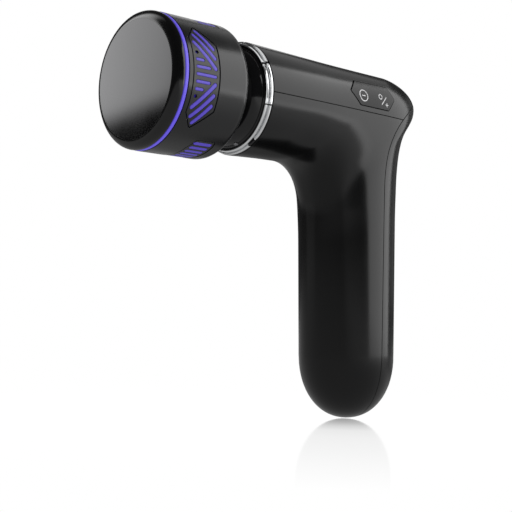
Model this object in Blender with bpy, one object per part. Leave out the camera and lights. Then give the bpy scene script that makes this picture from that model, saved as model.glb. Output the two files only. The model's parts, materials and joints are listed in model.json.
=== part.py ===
"""Massage gun with a detachable vented massage head.

Built as an assembly of separate pieces: three body shells, chrome collar,
crank drive with its motor, plunger, vented head with fan, battery and boards.

Construction frame, in millimetres: x runs rearward along the barrel axis with
x = 0 at the light ring of the head, y = 0 is the mid plane (-y is the button
side), z runs up from the barrel axis.  place() moves everything to the row
frame: metres, origin under the centre of the bounding box, +Z up.
"""
import bpy
import bmesh
import math
from mathutils import Matrix, Vector

for old in list(bpy.data.objects):
    bpy.data.objects.remove(old, do_unlink=True)

# ------------------------------------------------------------- dimensions (mm)
GAP = 0.3                       # free gap between pieces that meet face to face

# body outline in the side view: outer line (barrel top, rear nose, handle back)
TOP_FRONT = (51.0, 25.8)        # start of the barrel top line
TOP_REAR = (138.4, 23.2)        # end of the barrel top line
TOP_LEAD = 7.5                  # run-out of the top line into the nose curve
NOSE = (161.1, 11.1)            # rearmost point of the nose
NOSE_UP = 7.0                   # nose curve handle, upward
NOSE_DOWN = 9.0                 # nose curve handle, downward
BACK_TOP = (150.2, -33.0)       # start of the straight handle back
BACK_LEAD = 41.4                # run-out of the handle back into the nose curve
BACK_END = (151.5, -114.0)      # end of the straight handle back
# inner line (barrel underside, fillet, handle front)
UNDER_FRONT = (51.0, -26.0)
UNDER_REAR = (79.3, -25.1)
UNDER_LEAD = 17.7
FRONT_TOP = (99.8, -49.9)
FRONT_LEAD = 10.9
FRONT_END = (103.1, -116.8)
HALF_WIDTH_BARREL = 26.0
HALF_WIDTH_GRIP = 22.3
CAP_HEIGHT = 31.0               # rounded end of the handle
CAP_POWER = 2.15                # fullness of the rounded end
FULL_AT, FULL_SPAN = 1.35, 0.85  # stations where the section is fuller than an ellipse
FULL_EXTRA = 0.5
WALL = 2.0

SHELL_FRONT = 51.3              # front edge of the shells, behind the collar
# curve where the rear cover meets the other two shells, in the side view
SEAM_LOW = (129.5, -152.0)
SEAM_HANDLE = (128.1, -34.0)
SEAM_KNEE_A = (128.4, -8.0)
SEAM_KNEE_B = (137.0, 0.5)
SEAM_TOP = (161.5, 14.2)

# head
HEAD_R = 30.0
PLATE_FRONT, PLATE_BACK, PLATE_FLAT_R = -5.1, -1.1, 25.9
PLATE_ROUND = -1.8               # where the rounded rim reaches the full radius
RING_HALF = 0.8
HOUSING_FRONT, HOUSING_BACK = 1.1, 36.3
HOUSING_WALL = 2.2
VENT_SIDE_X = (3.0, 8.3, 17.4)  # front edge, tip and rear edge of a side vent
VENT_SIDE_A = (32.0, 46.0, 28.0)
VENT_TOP_X = (14.8, 16.6, 26.8, 27.5)
VENT_TOP_A = (22.0, 33.5, 34.0, 28.0)
SLOT_HALF, SLANT_HALF, TOP_HALF = 0.7, 0.95, 1.05   # half widths of the vent slots

# drive
CRANK_X = 126.0                 # motor and crank axis, vertical
CRANK_R = 5.0                   # half of the 10 mm stroke
ROD_LENGTH = 42.0
PIN_X = CRANK_X + CRANK_R       # crank pin, at its rear dead centre
WRIST_X = PIN_X - ROD_LENGTH
PLUNGER_R, SOCKET_R = 9.0, 7.0

# button pad, six-sided, on the -y side
PAD_X = (101.7, 106.9, 107.9, 128.6, 129.6, 133.8)
PAD_Z = (2.4, 8.8, 14.8)
PAD_AXIS = (117.5, -22.3, 8.6)
PAD_GAP = 0.35


# ------------------------------------------------------------------- materials
def paint(name, color, rough, metal=0.0, emit=0.0):
    mat = bpy.data.materials.new(name)
    mat.use_nodes = True
    p = mat.node_tree.nodes["Principled BSDF"]
    p.inputs["Base Color"].default_value = (*color, 1.0)
    p.inputs["Roughness"].default_value = rough
    p.inputs["Metallic"].default_value = metal
    if emit:
        p.inputs["Emission Color"].default_value = (*color, 1.0)
        p.inputs["Emission Strength"].default_value = emit
    mat.diffuse_color = (*color, 1.0)
    mat.roughness = rough
    mat.metallic = metal
    return mat


LOOKS = {
    "shell_black": ((0.022, 0.023, 0.025), 0.42, 0.0, 0.0),
    "gloss_black": ((0.012, 0.012, 0.014), 0.12, 0.0, 0.0),
    "chrome": ((0.85, 0.86, 0.88), 0.08, 1.0, 0.0),
    "plate_metal": ((0.16, 0.17, 0.18), 0.18, 1.0, 0.0),
    "light_purple": ((0.16, 0.10, 0.78), 0.35, 0.0, 1.5),
    "vent_black": ((0.018, 0.019, 0.022), 0.38, 0.0, 0.0),
    "pad_black": ((0.030, 0.031, 0.033), 0.36, 0.0, 0.0),
    "rubber_black": ((0.03, 0.03, 0.03), 0.8, 0.0, 0.0),
    "alloy": ((0.62, 0.63, 0.65), 0.35, 1.0, 0.0),
    "steel": ((0.50, 0.50, 0.52), 0.25, 1.0, 0.0),
    "bronze": ((0.55, 0.38, 0.16), 0.35, 1.0, 0.0),
    "nylon": ((0.70, 0.70, 0.66), 0.5, 0.0, 0.0),
    "magnet": ((0.20, 0.20, 0.21), 0.3, 1.0, 0.0),
    "copper": ((0.60, 0.28, 0.12), 0.35, 1.0, 0.0),
    "board_green": ((0.02, 0.16, 0.07), 0.45, 0.0, 0.0),
    "cell_wrap": ((0.04, 0.22, 0.40), 0.4, 0.0, 0.0),
    "ceramic": ((0.85, 0.85, 0.82), 0.55, 0.0, 0.0),
}
# ---------------------------------------------------------------- small algebra
def bezier(p0, p1, p2, p3, t):
    m = 1.0 - t
    return tuple(a * m**3 + 3 * b * m * m * t + 3 * c * m * t * t + d * t**3
                 for a, b, c, d in zip(p0, p1, p2, p3))


def lerp(a, b, t):
    return tuple(p + (q - p) * t for p, q in zip(a, b))


def along(a, b, d):
    """Point d millimetres past b on the line from a to b."""
    n = math.dist(a, b)
    return tuple(q + (q - p) / n * d for p, q in zip(a, b))


def arc(cx, cr, rx, rr, a0, a1, n):
    """Quarter-ellipse style points (axial, radial) from angle a0 to a1 in degrees."""
    out = []
    for i in range(n + 1):
        a = math.radians(a0 + (a1 - a0) * i / n)
        out.append((cx + rx * math.cos(a), cr + rr * math.sin(a)))
    return out


# ------------------------------------------------------------------ body stations
N_BARREL, N_CORNER, N_GRIP, N_CAP = 3, 8, 2, 4


def outline(inset):
    """Stations of the body: outer point, inner point and half width, moved inward
    by inset millimetres square to the outline."""
    def outer(s):
        if s < 1.0:
            return lerp(TOP_FRONT, TOP_REAR, s)
        if s < 1.5:
            return bezier(TOP_REAR, along(TOP_FRONT, TOP_REAR, TOP_LEAD),
                          (NOSE[0], NOSE[1] + NOSE_UP), NOSE, (s - 1.0) * 2)
        if s < 2.0:
            return bezier(NOSE, (NOSE[0], NOSE[1] - NOSE_DOWN),
                          along(BACK_END, BACK_TOP, BACK_LEAD), BACK_TOP, (s - 1.5) * 2)
        return lerp(BACK_TOP, BACK_END, s - 2.0)

    def inner(s):
        if s < 1.0:
            return lerp(UNDER_FRONT, UNDER_REAR, s)
        if s < 2.0:
            return bezier(UNDER_REAR, along(UNDER_FRONT, UNDER_REAR, UNDER_LEAD),
                          along(FRONT_END, FRONT_TOP, FRONT_LEAD), FRONT_TOP, s - 1.0)
        return lerp(FRONT_TOP, FRONT_END, s - 2.0)

    def moved(curve, s, side):
        e = 1e-3
        a, b = curve(max(0.0, s - e)), curve(min(3.0, s + e))
        tx, tz = b[0] - a[0], b[1] - a[1]
        n = math.hypot(tx, tz)
        x, z = curve(s)
        return (x + side * tz / n * inset, z - side * tx / n * inset)

    steps = ([i / N_BARREL for i in range(N_BARREL)]
             + [1 + i / N_CORNER for i in range(N_CORNER)]
             + [2 + i / N_GRIP for i in range(N_GRIP + 1)])
    rows = []
    for s in steps:
        k = min(1.0, s / 2.0)
        blend = k * k * (3 - 2 * k)
        w = HALF_WIDTH_BARREL + (HALF_WIDTH_GRIP - HALF_WIDTH_BARREL) * blend - inset
        b = max(0.0, 1.0 - abs(s - FULL_AT) / FULL_SPAN)
        power = 2.0 + FULL_EXTRA * b * b * (3 - 2 * b)
        rows.append((moved(outer, s, 1), moved(inner, s, -1), w, power))
    # rounded end of the handle
    o, i, w, _ = rows[-1]
    c = ((o[0] + i[0]) / 2, (o[1] + i[1]) / 2)
    e = ((o[0] - i[0]) / 2, (o[1] - i[1]) / 2)
    n = math.hypot(*e)
    down = (e[1] / n, -e[0] / n)
    h = CAP_HEIGHT - inset
    for k in range(1, N_CAP + 1):
        a = math.radians(90.0 * k / (N_CAP + 0.35))
        ca, sa = math.cos(a) ** (2 / CAP_POWER), math.sin(a) ** (2 / CAP_POWER)
        rows.append(((c[0] + e[0] * ca + down[0] * h * sa, c[1] + e[1] * ca + down[1] * h * sa),
                     (c[0] - e[0] * ca + down[0] * h * sa, c[1] - e[1] * ca + down[1] * h * sa),
                     w * ca, 2.0))
    return rows, (c[0] + down[0] * h, c[1] + down[1] * h)


ROWS, LOW_POINT = outline(0.0)
X_MID = (PLATE_FRONT + NOSE[0]) / 2
Z_LOW = LOW_POINT[1]


def place(p):
    return Vector(((p[0] - X_MID) / 1000, p[1] / 1000, (p[2] - Z_LOW) / 1000))


# --------------------------------------------------------------- mesh to object
def make(name, bm, look, origin=(0.0, 0.0, 0.0), smooth=None, cutter=False):
    """Turns a bmesh drawn in construction millimetres into a placed object."""
    bmesh.ops.remove_doubles(bm, verts=bm.verts, dist=1e-4)
    bmesh.ops.recalc_face_normals(bm, faces=bm.faces)
    o = place(origin)
    for v in bm.verts:
        v.co = place(v.co) - o
    mesh = bpy.data.meshes.new(name)
    bm.to_mesh(mesh)
    bm.free()
    ob = bpy.data.objects.new(name, mesh)
    ob.location = o
    bpy.context.scene.collection.objects.link(ob)
    if cutter:
        ob.hide_render = True
        ob.display_type = 'WIRE'
    else:
        mesh.materials.append(paint(name + "_mat", *LOOKS[look]))
    if smooth:
        mesh.shade_smooth()
        mesh.set_sharp_from_angle(angle=math.radians(smooth))
    return ob


def cut(ob, cutter, operation='DIFFERENCE', solver='EXACT'):
    mod = ob.modifiers.new(operation.lower() + "_" + cutter.name, 'BOOLEAN')
    mod.operation = operation
    mod.object = cutter
    mod.solver = solver
    return mod


def lathe(profile, n=32, axis='X', center=(0.0, 0.0, 0.0)):
    """Solid of revolution from a closed (axial, radial) profile."""
    bm = bmesh.new()
    on_axis = any(r < 1e-9 for _, r in profile)
    vs = [bm.verts.new((a, 0.0, r)) for a, r in profile]
    pairs = list(zip(vs, vs[1:])) + ([] if on_axis else [(vs[-1], vs[0])])
    es = [bm.edges.new(p) for p in pairs]
    bmesh.ops.spin(bm, geom=vs + es, cent=(0, 0, 0), axis=(1, 0, 0),
                   angle=2 * math.pi, steps=n, use_merge=True)
    for v in bm.verts:
        a, y, z = v.co
        if axis == 'X':
            v.co = (a + center[0], y + center[1], z + center[2])
        else:
            v.co = (z + center[0], y + center[1], a + center[2])
    return bm


def rod(x0, x1, r, n=20, **kw):
    return lathe([(x0, 0.0), (x0, r), (x1, r), (x1, 0.0)], n, **kw)


def ring(x0, x1, r0, r1, n=24, **kw):
    return lathe([(x0, r0), (x0, r1), (x1, r1), (x1, r0)], n, **kw)


def box(x0, x1, y0, y1, z0, z1):
    bm = bmesh.new()
    bmesh.ops.create_cube(bm, size=1.0)
    for v in bm.verts:
        v.co = (x0 + (v.co.x + 0.5) * (x1 - x0), y0 + (v.co.y + 0.5) * (y1 - y0),
                z0 + (v.co.z + 0.5) * (z1 - z0))
    return bm


def prism(points, lo, hi, axis='Y'):
    """Extrudes a closed outline: (x, z) pairs along Y, or (x, y) pairs along Z."""
    bm = bmesh.new()
    if axis == 'Y':
        vs = [bm.verts.new((a, lo, b)) for a, b in points]
        step = (0, hi - lo, 0)
    else:
        vs = [bm.verts.new((a, b, lo)) for a, b in points]
        step = (0, 0, hi - lo)
    face = bm.faces.new(vs)
    out = bmesh.ops.extrude_face_region(bm, geom=[face])
    moved = [g for g in out["geom"] if isinstance(g, bmesh.types.BMVert)]
    bmesh.ops.translate(bm, vec=step, verts=moved)
    return bm


def merge(*parts):
    """Several closed bodies in one bmesh, for cutters and for unions."""
    bm = bmesh.new()
    for p in parts:
        tmp = bpy.data.meshes.new("tmp")
        p.to_mesh(tmp)
        p.free()
        bm.from_mesh(tmp)
        bpy.data.meshes.remove(tmp)
    return bm


# -------------------------------------------------------------------- body loft
PHI = 24


def body(inset, extend_front=0.0):
    rows, tip = outline(inset)
    if extend_front:
        (ox, oz), (ix, iz), w, p = rows[0]
        rows = [((ox - extend_front, oz), (ix - extend_front, iz), w, p)] + rows
    bm = bmesh.new()
    loops = []
    for (ox, oz), (ix, iz), w, p in rows:
        cx, cz, ex, ez = (ox + ix) / 2, (oz + iz) / 2, (ox - ix) / 2, (oz - iz) / 2
        loop = []
        for k in range(PHI):
            c, q = math.cos(2 * math.pi * k / PHI), math.sin(2 * math.pi * k / PHI)
            c = math.copysign(abs(c) ** (2 / p), c)
            q = math.copysign(abs(q) ** (2 / p), q)
            loop.append(bm.verts.new((cx + ex * c, -w * q, cz + ez * c)))
        loops.append(loop)
    for a, b in zip(loops, loops[1:]):
        for k in range(PHI):
            bm.faces.new((a[k], a[(k + 1) % PHI], b[(k + 1) % PHI], b[k]))
    bm.faces.new(loops[0])
    end = bm.verts.new((tip[0], 0.0, tip[1]))
    for k in range(PHI):
        bm.faces.new((loops[-1][k], loops[-1][(k + 1) % PHI], end))
    return bm


def seam_curve(shift):
    """Rear-cover seam moved sideways by shift millimetres, from the foot to the top."""
    pts = [SEAM_LOW, SEAM_HANDLE]
    pts += [bezier(SEAM_HANDLE, SEAM_KNEE_A, SEAM_KNEE_B, SEAM_TOP, t / 9) for t in range(1, 10)]
    pts.append(along(pts[-2], pts[-1], 14.0))
    out = []
    for k, p in enumerate(pts):
        a, b = pts[max(0, k - 1)], pts[min(len(pts) - 1, k + 1)]
        tx, tz = b[0] - a[0], b[1] - a[1]
        n = math.hypot(tx, tz)
        out.append((p[0] + tz / n * shift, p[1] - tx / n * shift))
    return out


def seam_at_zero(curve, level):
    """Where a seam curve passes the given height, and the points above and below it."""
    for k in range(1, len(curve)):
        if curve[k][1] > level >= curve[k - 1][1]:
            t = (level - curve[k - 1][1]) / (curve[k][1] - curve[k - 1][1])
            return lerp(curve[k - 1], curve[k], t), curve[:k], curve[k:]


HALF = GAP / 2
hollow = make("cut_hollow", body(WALL, extend_front=8.0), None, cutter=True)

fwd = seam_curve(-HALF)
join_low, below, _ = seam_at_zero(fwd, -HALF)
join_up, _, above = seam_at_zero(fwd, HALF)
region_grip = make("cut_region_grip", prism(
    below + [join_low, (SHELL_FRONT, -HALF), (SHELL_FRONT, -152.0)], -40, 40), None, cutter=True)
region_top = make("cut_region_top", prism(
    [join_up] + above + [(above[-1][0], 40.0), (SHELL_FRONT, 40.0), (SHELL_FRONT, HALF)], -40, 40),
    None, cutter=True)
back = seam_curve(HALF)
region_rear = make("cut_region_rear", prism(
    back + [(180.0, back[-1][1]), (180.0, -152.0)], -40, 40), None, cutter=True)


def shell(name, region):
    ob = make(name, body(0.0), "shell_black", smooth=35)
    cut(ob, hollow)
    cut(ob, region, 'INTERSECT')
    return ob


grip_shell = shell("grip_shell", region_grip)
top_cover = shell("top_cover", region_top)
rear_cover = shell("rear_cover", region_rear)


# ------------------------------------------------------------------- button pad
def pad_outline(inset):
    z0, zm, z1 = PAD_Z
    raw = [(PAD_X[0], zm), (PAD_X[2], z0), (PAD_X[3], z0), (PAD_X[5], zm), (PAD_X[4], z1), (PAD_X[1], z1)]
    cx, cz = sum(p[0] for p in raw) / 6, sum(p[1] for p in raw) / 6
    sx = (PAD_X[5] - PAD_X[0]) / 2
    sz = (z1 - z0) / 2
    return [(cx + (x - cx) * (1 - 1.4 * inset / sx), cz + (z - cz) * (1 - inset / sz)) for x, z in raw]


pad_hole = make("cut_pad_hole", prism(pad_outline(0.0), -32, -12), None, cutter=True)
cut(top_cover, pad_hole)
pad_region = make("cut_pad_region", prism(pad_outline(PAD_GAP), -32, -12), None, cutter=True)
pad_under = make("cut_pad_under", body(1.7, extend_front=8.0), None, cutter=True)
button_pad = make("button_pad", body(0.2), "pad_black", origin=PAD_AXIS)
cut(button_pad, pad_under)
cut(button_pad, pad_region, 'INTERSECT')

make("button_board", box(104, 132, -16.6, -15.4, 3.6, 13.4), "board_green")
make("switch_power", box(108.6, 112.6, -19.6, -16.9, 4.6, 8.4), "steel")
make("switch_mode", box(122.0, 126.0, -19.3, -16.9, 4.6, 8.4), "steel")

# ---------------------------------------------------------- charge port, rear cover
port_cut = make("cut_port", box(143.0, 156.0, -4.9, 4.9, -133.6, -129.4), None, cutter=True)
cut(rear_cover, port_cut)
charge_port = make("charge_port", box(139.5, 147.3, -4.5, 4.5, -133.2, -129.8), "alloy")
port_mouth = make("cut_port_mouth", box(141.5, 149.0, -4.0, 4.0, -132.7, -130.3), None, cutter=True)
cut(charge_port, port_mouth)

# ----------------------------------------------------------- collar, bezel, guide
make("collar_ring", lathe([(51.0, 25.8), (50.1, 25.75), (49.3, 24.85), (48.3, 24.7), (48.1, 24.2), (48.3, 23.5),
                           (51.0, 23.5)], 40), "chrome", smooth=40)
dome = arc(49.2, 13.0, -8.6, 10.1, 0, 90, 5)            # flat at the mouth, upright at the rim
under = arc(49.4, 13.4, -7.0, 8.1, 90, 0, 3)
make("nose_bezel", lathe([(40.6, 11.9)] + dome + [(51.6, 23.1), (51.6, 21.5)] + under
                         + [(47.0, 13.4), (47.0, 11.9)], 24), "gloss_black", smooth=40)
make("shaft_seal", ring(42.6, 45.6, 9.4, 11.6, 24), "rubber_black", smooth=40)

guide = make("guide_housing", lathe([(55, 11.6), (55, 22.6), (57.6, 22.6), (57.6, 15.0), (69, 15.0), (69, 11.6)], 24),
             "alloy", smooth=40)
SCREW_AT = [(19.0 * math.cos(math.radians(a)), 19.0 * math.sin(math.radians(a))) for a in (90, 210, 330)]
screw_holes = make("cut_screw_holes", merge(*[rod(54, 59, 1.9, 12, center=(0, y, z)) for y, z in SCREW_AT]),
                   None, cutter=True)
cut(guide, screw_holes)
for k, (y, z) in enumerate(SCREW_AT):
    make("guide_screw_%d" % (k + 1), lathe([(52.4, 0), (52.4, 2.8), (54.7, 2.8), (54.7, 1.5), (61.0, 1.5), (61.0, 0)],
                                           12, center=(0, y, z)), "steel", smooth=40)
make("guide_bushing", ring(56, 68.6, 9.4, 11.3, 24), "bronze", smooth=40)

# ------------------------------------------------------- chassis, motor and crank
CENTER = (CRANK_X, 0.0, 0.0)


def plate_with_hole(outer_fn, hole_r, z0, z1, n=32):
    """Flat plate around the crank axis with a round hole, both loops n-sided."""
    bm = bmesh.new()
    loops = []
    for z in (z0, z1):
        for kind in (0, 1):
            row = []
            for k in range(n):
                a = 2 * math.pi * k / n
                if kind == 0:
                    x, y = outer_fn(a)
                else:
                    x, y = hole_r * math.cos(a), hole_r * math.sin(a)
                row.append(bm.verts.new((CRANK_X + x, y, z)))
            loops.append(row)
    o0, i0, o1, i1 = loops
    for k in range(n):
        j = (k + 1) % n
        bm.faces.new((o0[k], o0[j], o1[j], o1[k]))
        bm.faces.new((i0[k], i1[k], i1[j], i0[j]))
        bm.faces.new((o1[k], o1[j], i1[j], i1[k]))
        bm.faces.new((o0[k], i0[k], i0[j], o0[j]))
    return bm


def chassis_edge(a):
    """Round end behind the crank axis, straight tongue 28 wide in front of it."""
    c, s = math.cos(a), math.sin(a)
    if c >= 0:
        return 18.5 * c, 18.5 * s
    t = min(56.7 / max(1e-6, -c), 14.0 / max(1e-6, abs(s)))
    if t * -c < 12.0:
        return 18.5 * c, 18.5 * s
    return t * c, t * s


make("chassis_plate", plate_with_hole(chassis_edge, 6.3, -13.0, -10.5, 32), "alloy")
make("main_bearing", ring(-12.9, -10.6, 3.3, 6.0, 20, axis='Z', center=CENTER), "steel", smooth=40)
make("isolator_left", box(86, 98, -17.6, -14.4, -13.4, -9.6), "rubber_black")
make("isolator_right", box(86, 98, 14.4, 17.6, -13.4, -9.6), "rubber_black")

make("motor_base", lathe([(-40.5, 3.4), (-40.5, 18.0), (-38.3, 18.0), (-38.3, 4.6), (-17.0, 4.6), (-17.0, 3.4)],
                         20, axis='Z', center=CENTER), "alloy", smooth=40)


def stator_edge(a):
    """Nine teeth with slots between them."""
    tooth = (a / (2 * math.pi) * 9) % 1.0
    r = 14.3 if tooth < 0.70 else 9.0
    return r * math.cos(a), r * math.sin(a)


make("motor_stator", plate_with_hole(stator_edge, 5.0, -33.5, -18.5, 36), "copper")
make("rotor_bell", lathe([(-14.6, 3.4), (-14.6, 16.6), (-15.5, 17.5), (-36.0, 17.5), (-36.0, 16.1), (-16.0, 16.1), (-16.0, 3.4)],
                         24, axis='Z', center=CENTER), "steel", origin=CENTER, smooth=40)
make("rotor_magnets", ring(-34.0, -18.0, 14.9, 15.8, 24, axis='Z', center=CENTER), "magnet", origin=CENTER, smooth=40)
make("motor_shaft", rod(-37.0, -5.6, 3.0, 18, axis='Z', center=CENTER), "steel", origin=CENTER, smooth=40)


def crank_edge(a):
    """Round hub, with a heavier half opposite the crank pin as counterweight."""
    r = 15.0 if math.cos(a) < -0.25 else 9.6
    return r * math.cos(a), r * math.sin(a)


make("crank_disc", plate_with_hole(crank_edge, 3.3, -9.3, -5.3, 24), "steel", origin=CENTER)

# ------------------------------------------------------------- rod, pins, plunger
WRIST = (WRIST_X, 0.0, 0.0)
CPIN = (PIN_X, 0.0, 0.0)


def rod_outline():
    """Small end, tapered web and big end, as one outline seen from above."""
    rs, rb = 6.3, 9.6
    pts = []
    for k in range(15):                       # big end, open towards the web
        a = math.radians(-150 + 300 * k / 14)
        pts.append((PIN_X + rb * math.cos(a), rb * math.sin(a)))
    for k in range(11):                       # small end
        a = math.radians(40 + 280 * k / 10)
        pts.append((WRIST_X + rs * math.cos(a), rs * math.sin(a)))
    return pts


conrod = make("connecting_rod", prism(rod_outline(), -3.0, 3.0, 'Z'), "alloy", origin=WRIST)
rod_bores = make("cut_rod_bores", merge(rod(-5, 5, 4.6, 20, axis='Z', center=WRIST),
                                        rod(-5, 5, 7.3, 24, axis='Z', center=CPIN)), None, cutter=True)
cut(conrod, rod_bores)
make("small_end_bush", ring(-3.0, 3.0, 2.95, 4.3, 20, axis='Z', center=WRIST), "bronze", origin=WRIST, smooth=40)
make("big_end_bearing", ring(-3.0, 3.0, 3.6, 7.0, 24, axis='Z', center=CPIN), "steel", origin=WRIST, smooth=40)
make("crank_pin", lathe([(-5.0, 0), (-5.0, 3.3), (3.4, 3.3), (3.4, 5.0), (4.6, 5.0), (4.6, 0)],
                        20, axis='Z', center=CPIN), "steel", origin=WRIST, smooth=40)
make("wrist_pin", rod(-8.2, 8.2, 2.6, 18, axis='Z', center=WRIST), "steel", origin=WRIST, smooth=40)

plunger = make("plunger_shaft", lathe([(60.0, 0.0), (60.0, SOCKET_R), (41.1, SOCKET_R), (41.1, PLUNGER_R),
                                       (81.0, PLUNGER_R), (81.0, 0.0)], 24), "steel", origin=WRIST, smooth=40)
clevis = make("cut_clevis_block", box(79.0, 97.0, -7.6, 7.6, -8.6, 8.6), None, cutter=True)
cut(plunger, clevis, 'UNION')
clevis_slot = make("cut_clevis_slot", box(81.9, 99.0, -12, 12, -3.5, 3.5), None, cutter=True)
cut(plunger, clevis_slot)
wrist_bore = make("cut_wrist_bore", rod(-12, 12, 2.95, 18, axis='Z', center=WRIST), None, cutter=True)
cut(plunger, wrist_bore)

# ------------------------------------------------------------------- battery bay
CELL_R, CELL_X = 9.2, (116.9, 137.1)
for label, x in (("front", CELL_X[0]), ("rear", CELL_X[1])):
    make("battery_cell_" + label, lathe([(-125.0, 0), (-125.0, CELL_R), (-60.6, CELL_R), (-60.0, CELL_R - 0.6),
                                         (-60.0, 0)], 24, axis='Z', center=(x, 0, 0)), "cell_wrap", smooth=40)


def stadium(half):
    pts = []
    for k in range(9):
        a = math.radians(-90 + 180 * k / 8)
        pts.append((CELL_X[1] + half * math.cos(a), half * math.sin(a)))
    for k in range(9):
        a = math.radians(90 + 180 * k / 8)
        pts.append((CELL_X[0] + half * math.cos(a), half * math.sin(a)))
    return pts


make("battery_holder_top", prism(stadium(9.4), -59.6, -57.0, 'Z'), "nylon")
make("battery_holder_bottom", prism(stadium(8.2), -127.8, -125.4, 'Z'), "nylon")
make("control_board", box(113.0, 138.0, 12.4, 13.8, -118.0, -62.0), "board_green")

# ------------------------------------------------------------------ massage head
make("contact_plate", lathe([(PLATE_FRONT, 0.0)]
                            + arc(PLATE_ROUND, PLATE_FLAT_R, PLATE_FRONT - PLATE_ROUND, HEAD_R - PLATE_FLAT_R, 0, 90, 4)
                            + [(PLATE_BACK, HEAD_R), (PLATE_BACK, 0.0)], 40), "plate_metal", smooth=40)
make("light_ring", ring(-RING_HALF, RING_HALF, 27.4, HEAD_R, 40), "light_purple", smooth=40)
rear_edge = arc(31.0, 22.1, 5.3, HEAD_R - 22.1, 90, 0, 4)
housing = make("head_housing", lathe([(HOUSING_FRONT, HEAD_R)] + rear_edge + [(HOUSING_BACK, 9.65), (34.2, 9.65),
                                      (34.2, 21.2), (30.2, 27.8), (HOUSING_FRONT, HEAD_R - HOUSING_WALL)], 40),
               "gloss_black", smooth=40)


def window(points, center_deg, r0, r1, grow=0.0):
    """Radial block over a cylinder of the head: outline in (x, degrees), convex,
    moved outward by grow millimetres, long steps in angle split to follow the curve."""
    n = len(points)
    mm = [(x, math.radians(a) * HEAD_R) for x, a in points]
    area = sum(mm[k][0] * mm[(k + 1) % n][1] - mm[(k + 1) % n][0] * mm[k][1] for k in range(n))
    if area < 0:
        mm.reverse()
    grown = []
    for k in range(n):
        (ax, ay), (bx, by), (cx, cy) = mm[k - 1], mm[k], mm[(k + 1) % n]
        n1 = Vector((by - ay, ax - bx)).normalized()
        n2 = Vector((cy - by, bx - cx)).normalized()
        m = (n1 + n2).normalized()
        d = grow / max(0.3, m.dot(n1))
        grown.append((bx + m.x * d, by + m.y * d))
    loop = []
    for k in range(n):
        a, b = grown[k], grown[(k + 1) % n]
        parts = max(1, int(math.ceil(abs(b[1] - a[1]) / HEAD_R / math.radians(7.5))))
        loop += [lerp(a, b, j / parts) for j in range(parts)]
    bm = bmesh.new()
    rows = []
    for r in (r0, r1):
        row = []
        for x, s in loop:
            a = s / HEAD_R + math.radians(center_deg)
            row.append(bm.verts.new((x, -r * math.cos(a), r * math.sin(a))))
        rows.append(row)
    # ladder of quads between the two long sides keeps the caps on the cylinder
    for row in rows:
        bmesh.ops.triangle_fill(bm, use_beauty=True,
                                edges=[bm.edges.get((row[k], row[(k + 1) % len(row)]))
                                       or bm.edges.new((row[k], row[(k + 1) % len(row)])) for k in range(len(row))])
    m = len(loop)
    for k in range(m):
        j = (k + 1) % m
        bm.faces.new((rows[0][k], rows[0][j], rows[1][j], rows[1][k]))
    return bm


def slot_block(xa, da, xb, db, center_deg, half, r0, r1):
    """One slot: a thin block from (xa, da) to (xb, db) on the cylinder."""
    ax, ay = xa, math.radians(da) * HEAD_R
    bx, by = xb, math.radians(db) * HEAD_R
    d = Vector((bx - ax, by - ay))
    if d.length < 1e-6:
        d = Vector((1.0, 0.0))
    d.normalize()
    nrm = Vector((-d.y, d.x))
    a, b = Vector((ax, ay)), Vector((bx, by))
    pts = [a - d * half - nrm * half, b + d * half - nrm * half,
           b + d * half + nrm * half, a - d * half + nrm * half]
    bm = bmesh.new()
    rows = []
    for r in (r0, r1):
        rows.append([bm.verts.new((p.x, -r * math.cos(p.y / HEAD_R + math.radians(center_deg)),
                                   r * math.sin(p.y / HEAD_R + math.radians(center_deg)))) for p in pts])
    bm.faces.new(rows[0])
    bm.faces.new(rows[1])
    for k in range(4):
        j = (k + 1) % 4
        bm.faces.new((rows[0][k], rows[0][j], rows[1][j], rows[1][k]))
    return bm


def side_outline():
    (x0, x1, x2), (a0, a1, a2) = VENT_SIDE_X, VENT_SIDE_A
    return [(x0, -a0), (x0, a0), (x1, a1), (x2, a2), (x2, -a2), (x1, -a1)]


def top_outline():
    (x0, x1, x2, x3), (a0, a1, a2, a3) = VENT_TOP_X, VENT_TOP_A
    return [(x0, -a0), (x0, a0), (x1, a1), (x2, a2), (x3, a3), (x3, -a3), (x2, -a2), (x1, -a1)]


def side_slots():
    """Five level slots, longest in the middle, a dot and three slanted slots at each end."""
    out = [(5.4, 6.0 * k, 15.0 - 3.2 * abs(k), 6.0 * k, SLOT_HALF) for k in (-2, -1, 0, 1, 2)]
    for s in (-1, 1):
        out.append((5.45, 18.0 * s, 5.75, 18.0 * s, SLOT_HALF))
        for xa, da, db in ((5.3, 27.2, 6.6), (6.35, 34.8, 15.4), (8.6, 40.2, 24.0)):
            out.append((xa, da * s, 15.0, db * s, SLANT_HALF))
    return out


def top_slots():
    """Ten level slots side by side across the window."""
    return [(17.6, 3.3 + 6.6 * k, 25.2, 3.3 + 6.6 * k, TOP_HALF) for k in (-5, -4, -3, -2, -1, 0, 1, 2, 3, 4)]


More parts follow.
